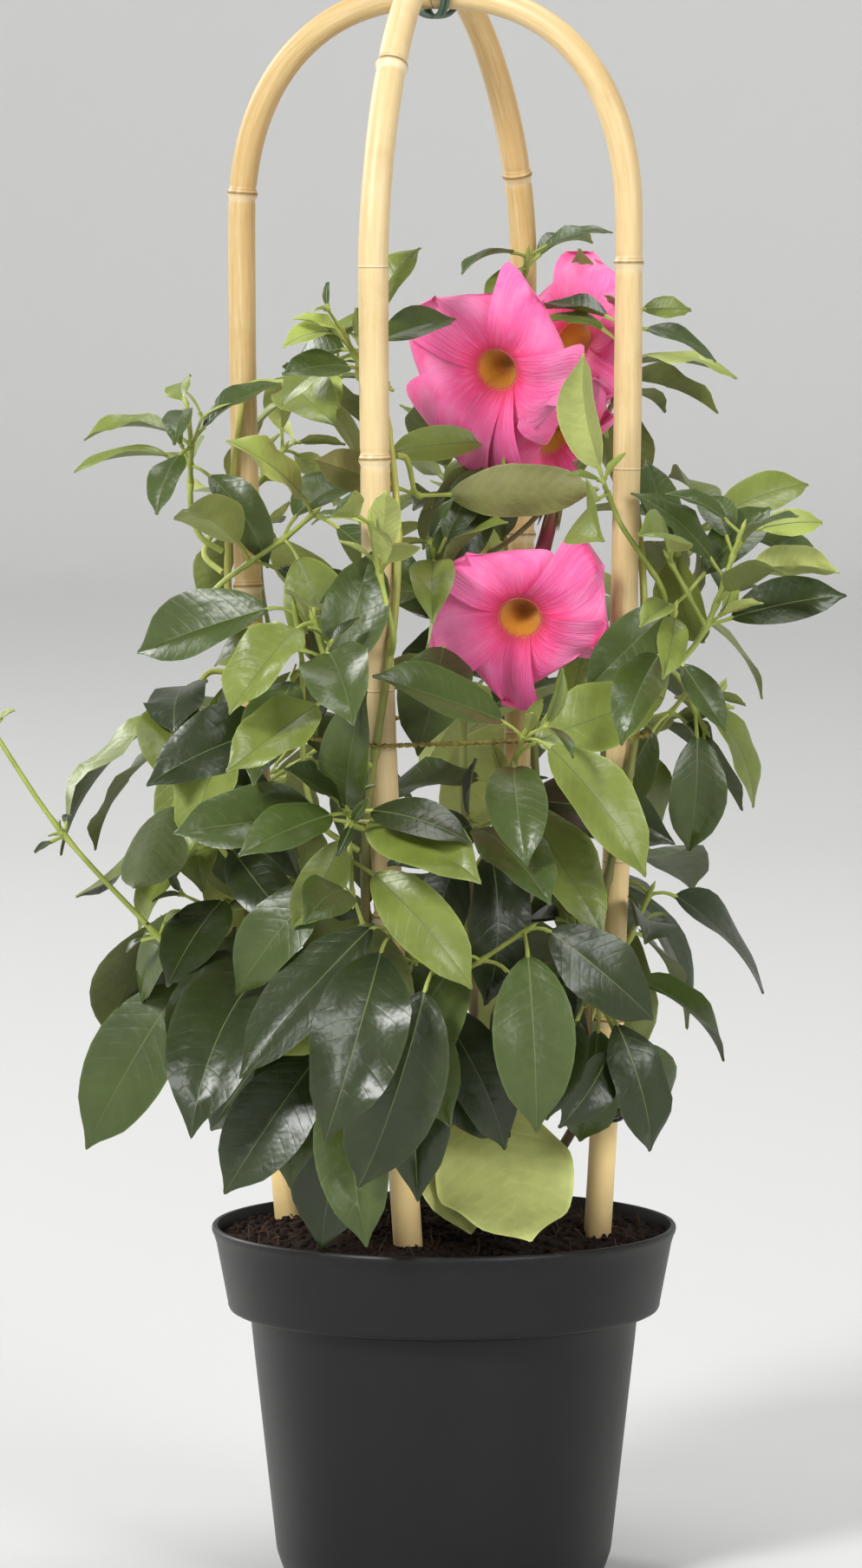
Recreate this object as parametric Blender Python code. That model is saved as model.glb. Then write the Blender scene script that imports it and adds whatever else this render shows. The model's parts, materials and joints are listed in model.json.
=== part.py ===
"""A potted mandevilla: a climber with opposite leaves and pink trumpet blooms, trained up two crossed
bamboo hoops in a black nursery pot. +Z is up, and the origin is the middle of the pot's flat underside.
The sizes in this file are in millimetres, and add_object writes them in metres."""

import math
import random
from typing import NamedTuple

import bmesh
import bpy
from mathutils import Vector
from mathutils.bvhtree import BVHTree

MM = 0.001
UP = Vector((0, 0, 1))
TURN = 2 * math.pi

# Clear distances between pieces that don't touch.
GAP = 0.35
ROOT_GAP = 0.7
LEAF_CLEARANCE = 0.8

# The nursery pot, a 17 cm size.
POT_RIM_RADIUS = 85.2
POT_HEIGHT = 130.5
POT_WALL = 1.4
POT_FOOT_RADIUS = 58.0
POT_FOOT_CHAMFER = 12.0
POT_FOOT_WALL_RADIUS = 61.8
POT_NECK_RADIUS = 71.2
BAND_FOOT = 98.5
BAND_FOOT_RADIUS = 79.3
POT_SIDES = 28

# The soil, heaped a little over the rim in the middle.
SOIL_EDGE = 126.5
SOIL_TOP = 135.0

# The two hoops: each leg spreads from its foot to its shoulder, where the bend begins.
CANE_FOOT_DEPTH = 22.0
CANE_SIDES = 8
CANE_NODE_SWELL = 0.55
CANE_NODE_HALF = 3.0

# The climbing stems and what grows on them.
STEM_FOOT_RADIUS = 2.1
STEM_TIP_RADIUS = 1.3
MASS_STEM_RADIUS = 1.3
TWIG_RADIUS = 1.0
WOOD_SIDES = 4
PETIOLE_RADIUS = 0.8
ROOT_RADIUS = 0.45
LEAF_THICKNESS_SHARE = 0.0125
LEAF_WIDTH_SHARE = 0.47
TURNED_SHARE = 0.08
LEAF_STATIONS = (0.32, 0.74)


class Cane(NamedTuple):
    """Half a hoop: a leg, and its half of the bend."""

    foot: tuple
    shoulder: tuple
    shoulder_height: float
    radius: float
    node_heights: tuple


class Hoop(NamedTuple):
    """Two canes that meet at the top of the bend."""

    apex: tuple
    apex_height: float
    squareness: float
    canes: dict


HOOPS = (
    Hoop(
        apex=(-3.2, 0.0),
        apex_height=578.5,
        squareness=2.3,
        canes={
            "cane_back_left": Cane((-55.5, 21.0), (-74.2, 26.9), 495.0, 5.1, (205.0, 363.0, 507.0)),
            "cane_front_right": Cane((54.6, -21.0), (66.3, -26.9), 495.0, 5.1, (208.0, 330.0, 482.0)),
        },
    ),
    Hoop(
        apex=(-3.2, 0.0),
        apex_height=589.4,
        squareness=1.7,
        canes={
            "cane_front_left": Cane((-11.5, -50.0), (-25.1, -70.1), 484.0, 5.4, (250.0, 413.0, 552.0)),
            "cane_back_right": Cane((21.0, 50.0), (29.7, 70.1), 484.0, 5.1, (230.0, 380.0, 514.0)),
        },
    ),
)


class Climber(NamedTuple):
    """A main stem: it rises from its foot, and winds up its cane if it has one."""

    foot: tuple
    cane: str
    joins_cane: float
    top: float
    winding: float
    first_bearing: float


CLIMBERS = {
    "stem_front_left": Climber((-13.0, -24.0), "cane_front_left", 185.0, 428.0, 260.0, 80.0),
    "stem_back_left": Climber((-33.0, 12.0), "cane_back_left", 190.0, 432.0, 290.0, 330.0),
    "stem_back_right": Climber((14.0, 26.0), "cane_back_right", 190.0, 470.0, 270.0, 250.0),
    "stem_front_right": Climber((31.0, -10.0), "cane_front_right", 185.0, 440.0, 280.0, 150.0),
    "stem_middle": Climber((2.0, 1.0), "", 0.0, 385.0, 0.0, 0.0),
}
MIDDLE_STEM_TOP = (16.0, 6.0)
MIDDLE_STEM_SWAY = 5.0

BINDER_HEIGHT = 312.0
BINDER_RADIUS = 0.9
BINDER_REACH = 10.6
TIE_WIRE_RADIUS = 0.9
TIE_HALF_WIDTH = 9.8
TIE_HALF_HEIGHT = 13.2
TIE_SQUARENESS = 2.6

# Each finish: linear red, green, blue and roughness.
COLOURS = {
    "pot_plastic": (0.03, 0.03, 0.032, 0.45),
    "soil": (0.03, 0.016, 0.01, 0.95),
    "bamboo": (0.72, 0.5, 0.26, 0.45),
    "tie_wire": (0.1, 0.16, 0.12, 0.4),
    "twine": (0.3, 0.2, 0.08, 0.8),
    "green_stem": (0.25, 0.33, 0.08, 0.5),
    "leaf": (0.05, 0.11, 0.03, 0.35),
    "petal": (0.75, 0.11, 0.36, 0.5),
}


def clear_scene():
    for obj in list(bpy.data.objects):
        bpy.data.objects.remove(obj)


def finish(name):
    """The material of that name, made once."""
    found = bpy.data.materials.get(name)
    if found:
        return found
    red, green, blue, roughness = COLOURS[name]
    made = bpy.data.materials.new(name)
    made.use_nodes = True
    shader = made.node_tree.nodes["Principled BSDF"]
    shader.inputs["Base Color"].default_value = (red, green, blue, 1)
    shader.inputs["Roughness"].default_value = roughness
    shader.inputs["Metallic"].default_value = 0.0
    return made


def add_object(name, solid, material, smooth_angle=40.0):
    """An object from (points, faces), with its points in millimetres."""
    points, faces = solid
    mesh = bpy.data.meshes.new(name)
    mesh.from_pydata([p * MM for p in points], [], faces)
    mesh.shade_smooth()
    mesh.set_sharp_from_angle(angle=math.radians(smooth_angle))
    obj = bpy.data.objects.new(name, mesh)
    obj.data.materials.append(finish(material))
    bpy.context.scene.collection.objects.link(obj)
    return obj


def apply_boolean(obj, others, operation, solver="MANIFOLD"):
    """Joins the others to the object, or cuts them from it, and removes them."""
    collection = bpy.data.collections.new("operands")
    bpy.context.scene.collection.children.link(collection)
    for other in others:
        for holder in list(other.users_collection):
            holder.objects.unlink(other)
        collection.objects.link(other)
    modifier = obj.modifiers.new("join", "BOOLEAN")
    modifier.operation = operation
    modifier.solver = solver
    modifier.operand_type = "COLLECTION"
    modifier.collection = collection
    bpy.context.view_layer.update()
    graph = bpy.context.evaluated_depsgraph_get()
    mesh = bpy.data.meshes.new_from_object(obj.evaluated_get(graph), depsgraph=graph)
    obj.modifiers.clear()
    obj.data = mesh
    for other in others:
        bpy.data.objects.remove(other)
    bpy.data.collections.remove(collection)


def keep_outer_skin(mesh):
    """Leaves only the largest connected surface, so that no pocket stays inside where pieces cross."""
    bm = bmesh.new()
    bm.from_mesh(mesh)
    left = set(bm.faces)
    skins = []
    while left:
        reached, front = set(), [left.pop()]
        while front:
            face = front.pop()
            reached.add(face)
            for edge in face.edges:
                for other in edge.link_faces:
                    if other in left:
                        left.remove(other)
                        front.append(other)
        skins.append(reached)
    skins.sort(key=len)
    for inner in skins[:-1]:
        bmesh.ops.delete(bm, geom=list(inner), context="FACES")
    bm.to_mesh(mesh)
    bm.free()


def add_fused(name, solids, material):
    """One object that is the union of the solids; the first carries the others."""
    first = add_object(name, solids[0], material)
    others = [add_object(f"{name}_operand", solid, material) for solid in solids[1:]]
    if others:
        apply_boolean(first, others, "UNION")
        keep_outer_skin(first.data)
    return first


# What has been placed so far, so that later pieces keep clear of it: (owner, centre, reach, tree).
placed = []


def sphere_of(points):
    low = Vector(min(p[i] for p in points) for i in range(3))
    high = Vector(max(p[i] for p in points) for i in range(3))
    return (low + high) / 2, (high - low).length / 2


def place(owner, solid):
    points, faces = solid
    centre, reach = sphere_of(points)
    placed.append((owner, centre, reach, BVHTree.FromPolygons(points, faces)))


def is_clear(solid, exempt=None):
    """Whether the solid crosses nothing that is placed, apart from pieces of the exempt owner."""
    points, faces = solid
    centre, reach = sphere_of(points)
    tree = BVHTree.FromPolygons(points, faces)
    for owner, other_centre, other_reach, other in placed:
        if owner == exempt or (centre - other_centre).length > reach + other_reach:
            continue
        if tree.overlap(other):
            return False
    return True


# Shapes made of rings of points.


def skin(rings):
    """Faces that join each ring to the next, for rings of equal length."""
    sides = len(rings[0])
    faces = []
    for i in range(len(rings) - 1):
        for j in range(sides):
            k = (j + 1) % sides
            low, high = i * sides, (i + 1) * sides
            faces.append((low + j, low + k, high + k, high + j))
    return faces


def any_normal(direction):
    """A unit vector square to the direction."""
    return direction.cross(UP if abs(direction.z) < 0.9 else Vector((1, 0, 0))).normalized()


def path_frames(path):
    """(tangent, normal, binormal) at each point, turned as little as the path allows."""
    frames = []
    normal = None
    for i in range(len(path)):
        tangent = (path[min(i + 1, len(path) - 1)] - path[max(i - 1, 0)]).normalized()
        if normal is None:
            normal = any_normal(tangent)
        normal = (normal - tangent * normal.dot(tangent)).normalized()
        frames.append((tangent, normal, tangent.cross(normal)))
    return frames


def tube(path, radii, sides, beyond=()):
    """A closed tube round the path, flat at both ends; beyond says where the path would go on to."""
    rings = []
    for centre, radius, (_, normal, binormal) in zip(path, radii, path_frames([*path, *beyond])):
        angles = [TURN * j / sides for j in range(sides)]
        rings.append([centre + (normal * math.cos(a) + binormal * math.sin(a)) * radius for a in angles])
    faces = skin(rings)
    last = (len(rings) - 1) * sides
    faces.append(tuple(reversed(range(sides))))
    faces.append(tuple(range(last, last + sides)))
    return [p for ring in rings for p in ring], faces


def loop_tube(path, radius, sides):
    """A tube along a closed loop."""
    rings = []
    count = len(path)
    centre = sum(path, Vector()) / count
    axis = (path[0] - centre).cross(path[count // 4] - centre).normalized()
    for i in range(count):
        tangent = (path[(i + 1) % count] - path[i - 1]).normalized()
        normal = axis.cross(tangent).normalized()
        angles = [TURN * j / sides for j in range(sides)]
        rings.append([path[i] + (normal * math.cos(a) + axis * math.sin(a)) * radius for a in angles])
    faces = skin(rings + [rings[0]])
    points = [p for ring in rings for p in ring]
    return points, [tuple(i % len(points) for i in face) for face in faces]


def turned(profile, sides):
    """A solid of revolution; the profile runs from the axis at the foot out and back to the axis."""
    first, *middle, last = profile
    points = [Vector((0, 0, first[1]))]
    for radius, height in middle:
        points += [
            Vector((radius * math.cos(TURN * j / sides), radius * math.sin(TURN * j / sides), height))
            for j in range(sides)
        ]
    points.append(Vector((0, 0, last[1])))
    faces = []
    for i in range(len(middle) - 1):
        for j in range(sides):
            k = (j + 1) % sides
            low, high = 1 + i * sides, 1 + (i + 1) * sides
            faces.append((low + j, low + k, high + k, high + j))
    top, final = 1 + (len(middle) - 1) * sides, len(points) - 1
    for j in range(sides):
        k = (j + 1) % sides
        faces.append((0, 1 + k, 1 + j))
        faces.append((final, top + j, top + k))
    return points, faces


def smooth_step(share):
    share = max(0.0, min(1.0, share))
    return share * share * (3 - 2 * share)


# The pot and its soil.

POT_OUTSIDE = (
    (POT_FOOT_RADIUS, 0.0),
    (POT_FOOT_WALL_RADIUS, POT_FOOT_CHAMFER),
    (POT_NECK_RADIUS, BAND_FOOT),
    (BAND_FOOT_RADIUS - 1.5, BAND_FOOT + 0.8),
    (BAND_FOOT_RADIUS, BAND_FOOT + 3.5),
    (POT_RIM_RADIUS - 0.7, POT_HEIGHT - 2.2),
    (POT_RIM_RADIUS, POT_HEIGHT - 0.9),
    (POT_RIM_RADIUS - 0.6, POT_HEIGHT),
)
POT_INSIDE = (
    (POT_RIM_RADIUS - POT_WALL - 0.5, POT_HEIGHT - 0.2),
    (POT_RIM_RADIUS - POT_WALL - 1.0, POT_HEIGHT - 3.0),
    (BAND_FOOT_RADIUS - POT_WALL, BAND_FOOT + 3.6),
    (POT_NECK_RADIUS - POT_WALL, BAND_FOOT + 1.4),
    (POT_FOOT_WALL_RADIUS - POT_WALL, POT_FOOT_CHAMFER + 0.4),
    (POT_FOOT_RADIUS - POT_WALL + 0.3, POT_WALL),
)


def make_pot():
    profile = [(0, 0), *POT_OUTSIDE, *POT_INSIDE, (0, POT_WALL)]
    solid = turned(profile, POT_SIDES)
    place("pot", solid)
    add_object("pot", solid, "pot_plastic")


def soil_height(x, y):
    """The soil's surface: a low dome that meets the wall at its edge."""
    share = min(1.0, math.hypot(x, y) / POT_RIM_RADIUS)
    return SOIL_TOP - (SOIL_TOP - SOIL_EDGE) * share**1.6


def soil_solid():
    wall = [(r - GAP, z + GAP) for r, z in reversed(POT_INSIDE[2:])]
    edge_radius = POT_RIM_RADIUS - POT_WALL - 1.2 - GAP
    top = [(r, soil_height(r, 0)) for r in (edge_radius, 56.0, 26.0)]
    return turned([(0, POT_WALL + GAP), *wall, *top, (0, SOIL_TOP)], POT_SIDES)


def make_soil():
    """The soil fills the pot, and has a socket for each cane's foot."""
    solid = soil_solid()
    place("soil", solid)
    soil = add_object("soil", solid, "soil")
    sockets = []
    for hoop in HOOPS:
        for name, cane in hoop.canes.items():
            path = cane_path(hoop, name)[:2]
            below = path[0] - UP * GAP
            above = below + (path[1] - path[0]) * 1.2
            hole = tube([below, above], [cane.radius + GAP] * 2, CANE_SIDES)
            sockets.append(add_object("socket", hole, "soil"))
    apply_boolean(soil, sockets, "DIFFERENCE")


# The bamboo hoops.


def cane_foot_height(cane):
    return soil_height(*cane.foot) - CANE_FOOT_DEPTH


def leg_point(cane, height):
    """The leg's centre at a height: it curves out from the foot and stands upright at the shoulder."""
    low = cane_foot_height(cane)
    share = (cane.shoulder_height - height) / (cane.shoulder_height - low)
    x = cane.shoulder[0] + (cane.foot[0] - cane.shoulder[0]) * share**2
    y = cane.shoulder[1] + (cane.foot[1] - cane.shoulder[1]) * share**2
    return Vector((x, y, height))


def bend_point(hoop, name, share):
    """The bend's centre, from the shoulder at 0 to the hoop's top at 1."""
    sides = [Vector(c.shoulder) for c in hoop.canes.values()]
    middle = (sides[0] + sides[1]) / 2
    cane = hoop.canes[name]
    angle = share * math.pi / 2
    rise = math.sin(angle) ** (2 / hoop.squareness)
    span = math.cos(angle) ** (2 / hoop.squareness)
    flat = middle + (Vector(hoop.apex) - middle) * rise**2 + (Vector(cane.shoulder) - middle) * span
    height = cane.shoulder_height + (hoop.apex_height - cane.shoulder_height) * rise
    return Vector((flat.x, flat.y, height))


def cane_path(hoop, name, leg_rings=6, bend_rings=7):
    """The cane's centre line from its foot to just short of the hoop's top."""
    cane = hoop.canes[name]
    low = cane_foot_height(cane)
    heights = [low + (cane.shoulder_height - low) * i / leg_rings for i in range(leg_rings)]
    for node in cane.node_heights:
        if node < cane.shoulder_height - CANE_NODE_HALF:
            heights = [h for h in heights if abs(h - node) > 2.5 * CANE_NODE_HALF]
            heights += [node - CANE_NODE_HALF, node, node + CANE_NODE_HALF]
    path = [leg_point(cane, h) for h in sorted(heights)]
    path += [bend_point(hoop, name, i / bend_rings) for i in range(bend_rings)]
    last = bend_point(hoop, name, 1.0)
    path.append(last + (path[-1] - last).normalized() * GAP / 2)
    return path


def cane_radius(cane, height):
    near = min(abs(height - node) for node in cane.node_heights)
    return cane.radius + (CANE_NODE_SWELL if near < CANE_NODE_HALF / 2 else 0.0)


def make_canes():
    for hoop in HOOPS:
        for name, cane in hoop.canes.items():
            path = cane_path(hoop, name)
            other = next(n for n in hoop.canes if n != name)
            beyond = cane_path(hoop, other)[-2]
            beyond.z = path[-2].z
            solid = tube(path, [cane_radius(cane, p.z) for p in path], CANE_SIDES, [beyond])
            place(name, solid)
            add_object(name, solid, "bamboo")


def find_cane(name):
    return next(hoop.canes[name] for hoop in HOOPS if name in hoop.canes)


def make_top_tie():
    """Wire lashed both ways across the canes where the hoops cross."""
    canes = [list(hoop.canes.values()) for hoop in HOOPS]
    runs = [(Vector(b.shoulder) - Vector(a.shoulder)).normalized() for a, b in canes]
    middle = Vector((*HOOPS[0].apex, (HOOPS[0].apex_height + HOOPS[1].apex_height) / 2))
    loops = []
    for way in (1, -1):
        flat = (runs[0] + runs[1] * way).normalized()
        across = Vector((flat.x, flat.y, 0))
        path = []
        for i in range(12):
            angle = TURN * (i + 0.5) / 12
            c, s = math.cos(angle), math.sin(angle)
            x = math.copysign(abs(c) ** (2 / TIE_SQUARENESS), c) * TIE_HALF_WIDTH
            z = math.copysign(abs(s) ** (2 / TIE_SQUARENESS), s) * TIE_HALF_HEIGHT
            path.append(middle + across * x + UP * z)
        loops.append(loop_tube(path, TIE_WIRE_RADIUS, 4))
    for loop in loops:
        place("top_tie", loop)
    add_fused("top_tie", loops, "tie_wire")


def make_binder():
    """A thin band of twine drawn round the four canes."""
    centres = [leg_point(c, BINDER_HEIGHT) for hoop in HOOPS for c in hoop.canes.values()]
    centres.sort(key=lambda p: math.atan2(p.y, p.x))
    path = []
    for i, centre in enumerate(centres):
        before, after = centres[i - 1], centres[(i + 1) % len(centres)]
        start = math.atan2(centre.y - before.y, centre.x - before.x) - math.pi / 2
        end = math.atan2(after.y - centre.y, after.x - centre.x) - math.pi / 2
        turn = (end - start) % TURN
        for step in range(4):
            angle = start + turn * step / 3
            path.append(centre + Vector((math.cos(angle), math.sin(angle), 0)) * BINDER_REACH)
    solid = loop_tube(path, BINDER_RADIUS, 4)
    place("binder", solid)
    add_object("binder", solid, "twine")


# The climbing stems.


def winding_bearing(climber, height):
    return math.radians(climber.first_bearing) + TURN * (height - climber.joins_cane) / climber.winding


def stem_radius(climber, height):
    low = soil_height(*climber.foot)
    return STEM_FOOT_RADIUS + (STEM_TIP_RADIUS - STEM_FOOT_RADIUS) * (height - low) / (climber.top - low)


def stem_point(climber, height):
    """The stem's centre at a height."""
    low = soil_height(*climber.foot)
    foot = Vector((*climber.foot, 0))
    if not climber.cane:
        share = (height - low) / (climber.top - low)
        sway = MIDDLE_STEM_SWAY * math.sin(TURN * share)
        flat = foot.lerp(Vector((*MIDDLE_STEM_TOP, 0)), share)
        return Vector((flat.x + sway, flat.y - sway, height))
    cane = find_cane(climber.cane)
    bearing = winding_bearing(climber, height)
    hold = cane.radius + CANE_NODE_SWELL + stem_radius(climber, height) + GAP
    beside = leg_point(cane, height) + Vector((math.cos(bearing), math.sin(bearing), 0)) * hold
    foot.z = height
    return foot.lerp(beside, smooth_step((height - low) / (climber.joins_cane - low)))


def stem_path(climber, rings=18):
    low = soil_height(*climber.foot) + GAP + 0.2
    return [stem_point(climber, low + (climber.top - low) * i / (rings - 1)) for i in range(rings)]


def make_climbers():
    for name, climber in CLIMBERS.items():
        path = stem_path(climber)
        solid = tube(path, [stem_radius(climber, p.z) for p in path], 4)
        place(name, solid)
        add_object(name, solid, "green_stem")


# Leaves.


class Leaf(NamedTuple):
    """A leaf: its petiole leaves the twig at root, and its blade bends down along an arc."""

    root: Vector
    heading: Vector
    forward: Vector
    face: Vector
    length: float
    width: float
    petiole: float
    arch: float
    fold: float


def outline(share):
    """The blade's half width along its length, as a share of its greatest."""
    body = math.sin(math.pi * share**0.85) ** 0.9 if 0 < share < 1 else 0.0
    return body * (1 - 0.35 * smooth_step((share - 0.74) / 0.26))


def blade_base(leaf):
    return leaf.root + (leaf.heading * 0.55 + leaf.forward * 0.45) * leaf.petiole


def blade_point(leaf, share):
    """(centre, side, normal) on the midrib, as a share of the blade's length."""
    angle = leaf.arch * share
    if abs(leaf.arch) > 0.01:
        along, down = math.sin(angle) / leaf.arch, (1 - math.cos(angle)) / leaf.arch
    else:
        along, down = share, 0.0
    centre = blade_base(leaf) + (leaf.forward * along - leaf.face * down) * leaf.length
    normal = leaf.face * math.cos(angle) + leaf.forward * math.sin(angle)
    return centre, leaf.forward.cross(leaf.face), normal


def leaf_solid(leaf, grow=0.0):
    """The leaf as rings of four points: margin, upper midrib, margin, lower midrib."""
    thick = leaf.length * LEAF_THICKNESS_SHARE / 2 + grow
    rings = []
    side, normal = leaf.forward.cross(leaf.face), leaf.face
    root = leaf.root + leaf.heading * (0.4 + 4.5 * grow)
    for at, radius in ((root, ROOT_RADIUS), (blade_base(leaf), PETIOLE_RADIUS)):
        r = radius + grow
        rings.append([at + side * r, at + normal * r, at - side * r, at - normal * r])
    for share in LEAF_STATIONS:
        centre, side, normal = blade_point(leaf, share)
        half = leaf.width / 2 * outline(share) + grow
        lift = normal * half * math.sin(leaf.fold)
        out = side * half * math.cos(leaf.fold)
        upper, lower = centre + normal * thick, centre - normal * thick
        rings.append([centre + out + lift, upper, centre - out + lift, lower])
    points = [p for ring in rings for p in ring]
    tip, _, _ = blade_point(leaf, 1.0)
    points.append(tip + leaf.forward * grow)
    faces = [tuple(reversed(f)) for f in skin(rings)]
    last = (len(rings) - 1) * 4
    faces += [(last + (j + 1) % 4, last + j, len(points) - 1) for j in range(4)]
    faces.append((0, 1, 2, 3))
    return points, faces


# Foliage masses.


class Mass(NamedTuple):
    """A mass of foliage: one stem off a climber, with twigs and leaves along it."""

    climber: str
    height: float
    tip: tuple
    pairs: int
    twigs: int
    leaf: float
    droop: float
    young: float
    seed: int
    breadth: float = LEAF_WIDTH_SHARE
    turned: float = TURNED_SHARE


# Where each mass leaves its climber and where its stem ends. A height of None carries on from the top.
MASSES = {
    "crown_back_left": Mass("stem_back_left", None, (-44, 13, 440), 3, 0, 44, 0.13, 0.45, 9143),
    "crown_front_left": Mass("stem_front_left", None, (-30, -65, 457), 3, 1, 39, 0.2, 0.35, 8597),
    "crown_back_right": Mass("stem_back_right", None, (31, 58, 484), 2, 0, 36, 0.19, 0.2, 7467),
    "crown_front_right": Mass("stem_front_right", None, (63, -26, 464), 3, 0, 41, 0.32, 0.4, 3707),
    "crown_middle": Mass("stem_middle", None, (24, 5, 411), 3, 1, 47, 0.51, 0.3, 5617),
    "upper_left_arm": Mass("stem_back_left", 382, (-94, 21, 428), 3, 1, 43, 0.5, 0.3, 8892),
    "upper_left_front": Mass("stem_back_left", 363, (-49, -17, 392), 3, 0, 56, 0.64, 0.2, 3367),
    "upper_front_left": Mass("stem_front_left", 326, (-46, -102, 358), 3, 0, 50, 0.5, 0.2, 3255, 0.58),
    "upper_right_shoot": Mass("stem_front_right", 333, (107, -31, 386), 5, 1, 48, 0.0, 0.5, 6258),
    "upper_right_back": Mass("stem_front_right", 386, (98, 6, 386), 3, 0, 47, 0.16, 0.2, 3413),
    "upper_right_front": Mass("stem_front_right", 355, (82, -59, 359), 2, 0, 43, 0.63, 0.2, 9516),
    "upper_right_turned": Mass("stem_front_right", 391, (58, -53, 401), 1, 0, 53, 0.08, 0.0, 1734, 0.52, 1.0),
    "upper_left_turned": Mass("stem_front_left", 378, (-26, -92, 392), 2, 0, 35, 0.04, 0.2, 2032, 0.6, 0.5),
    "upper_back_right": Mass("stem_back_right", 415, (61, 54, 433), 3, 1, 53, 0.15, 0.3, 5403),
    "upper_back_left": Mass("stem_back_left", 404, (-60, 79, 412), 3, 1, 45, 0.53, 0.3, 946),
    "upper_back_middle": Mass("stem_back_right", 356, (3, 88, 398), 3, 1, 49, 0.36, 0.2, 3452),
    "upper_middle_front": Mass("stem_middle", 361, (-3, -33, 376), 3, 0, 54, 0.2, 0.2, 3719),
    "middle_left": Mass("stem_back_left", 295, (-96, 1, 317), 3, 2, 63, 0.48, 0.1, 8986),
    "middle_left_low": Mass("stem_back_left", 236, (-96, -19, 293), 3, 1, 51, 0.83, 0.1, 1482),
    "middle_front_left": Mass("stem_front_left", 246, (-33, -111, 291), 4, 1, 54, 0.28, 0.3, 3493),
    "middle_left_front": Mass("stem_front_left", 292, (-53, -71, 360), 3, 0, 56, 0.62, 0.1, 5994),
    "middle_front": Mass("stem_middle", 259, (28, -79, 316), 4, 1, 59, 0.68, 0.1, 6222),
    "middle_right": Mass("stem_front_right", 300, (95, -8, 313), 3, 1, 46, 0.85, 0.3, 5146),
    "middle_right_back": Mass("stem_back_right", 303, (87, 60, 352), 3, 1, 52, 0.53, 0.2, 1944),
    "middle_back": Mass("stem_back_right", 269, (17, 116, 324), 3, 1, 63, 0.41, 0.1, 2163),
    "middle_back_left": Mass("stem_back_left", 283, (-69, 85, 286), 3, 1, 66, 0.75, 0.1, 421),
    "low_left": Mass("stem_back_left", 198, (-100, -18, 243), 3, 1, 79, 0.73, 0.0, 3559),
    "left_runner": Mass("stem_back_left", 188, (-166, -16, 317), 3, 0, 10, 0.01, 0.2, 9037),
    "low_front_left": Mass("stem_front_left", 202, (-62, -67, 228), 3, 1, 68, 1.29, 0.0, 3961),
    "low_middle": Mass("stem_middle", 206, (7, -32, 187), 1, 0, 72, 1.47, 0.0, 9533, 0.72, 1.0),
    "low_front": Mass("stem_front_left", 190, (-2, -116, 240), 3, 1, 76, 1.2, 0.0, 8218),
    "low_front_outer": Mass("stem_middle", 201, (-25, -112, 249), 3, 1, 78, 1.06, 0.0, 6173),
    "low_right": Mass("stem_front_right", 204, (75, -15, 254), 3, 1, 53, 0.73, 0.0, 7055),
    "low_right_front": Mass("stem_front_right", 206, (50, -84, 222), 2, 1, 50, 0.63, 0.0, 5300),
    "low_back_right": Mass("stem_back_right", 209, (60, 91, 249), 3, 0, 68, 0.83, 0.0, 7856),
    "low_back": Mass("stem_middle", 217, (4, 107, 232), 3, 1, 77, 1.15, 0.0, 312),
    "low_back_left": Mass("stem_back_left", 211, (-68, 77, 248), 3, 0, 68, 1.01, 0.0, 3342),
    "upper_middle_turned": Mass("stem_front_left", 378, (-9, -40, 399), 1, 0, 54, 0.0, 0.0, 6427, 0.4, 1.0),
}
TRIES = 7
# Leaves on the lit side of the plant turn their faces this way as well as up.
LIGHT_SIDE = Vector((0.1, -0.75, 0))


def curve_between(start, start_way, end, end_way, count, end_pull=0.38):
    """Points along a cubic curve with these end directions."""
    span = (end - start).length
    a, b = start + start_way * span * 0.38, end - end_way * span * end_pull
    points = []
    for i in range(count):
        t = i / (count - 1)
        u = 1 - t
        points.append(start * u**3 + a * 3 * u * u * t + b * 3 * u * t * t + end * t**3)
    return points


def along(path, share):
    """(point, tangent) at a share of the path's length."""
    lengths = [(path[i + 1] - path[i]).length for i in range(len(path) - 1)]
    target = share * sum(lengths)
    for i, length in enumerate(lengths):
        if target <= length or i == len(lengths) - 1:
            tangent = (path[i + 1] - path[i]).normalized()
            return path[i].lerp(path[i + 1], min(1.0, target / length)), tangent
        target -= length


def stem_starts(mass):
    """(point, way) pairs where a mass's stem can begin, best first: those that face its tip."""
    climber = CLIMBERS[mass.climber]
    tip = Vector(mass.tip)
    if mass.height is None:
        path = stem_path(climber)
        way = (path[-1] - path[-2]).normalized()
        return [(path[-1] + way * ROOT_GAP, way)]
    starts = []
    for step in range(-12, 13):
        height = mass.height + 3 * step
        if not (soil_height(*climber.foot) + 25 < height < climber.top - 12):
            continue
        centre = stem_point(climber, height)
        wanted = Vector((tip.x - centre.x, tip.y - centre.y, 0)).normalized()
        free = wanted
        if climber.cane:
            cane = leg_point(find_cane(climber.cane), height)
            free = Vector((centre.x - cane.x, centre.y - cane.y, 0)).normalized()
        way = (wanted * 0.7 + free).normalized()
        start = centre + way * (stem_radius(climber, height) + ROOT_GAP)
        starts.append((abs(step) * 0.02 - free.dot(wanted), start, (way + UP * 0.3).normalized()))
    starts.sort(key=lambda entry: entry[0])
    return [(start, way) for _, start, way in starts]


def mass_stem(mass):
    """The mass's stem: the first that keeps clear of everything; it may swing its tip a little."""
    for swing in (0, 6, -6, 12, -12, 18):
        for start, way in stem_starts(mass):
            tip = Vector(mass.tip)
            tip += Vector((-tip.y, tip.x, 0)).normalized() * swing
            lean = (tip - start).normalized()
            end_way = (lean + UP * (0.5 - 0.8 * mass.droop)).normalized()
            path = curve_between(start, way, tip, end_way, 6)
            if is_clear(tube(path, [MASS_STEM_RADIUS + GAP] * 6, WOOD_SIDES)):
                return path
    raise ValueError("no clear way for a mass's stem")


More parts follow.
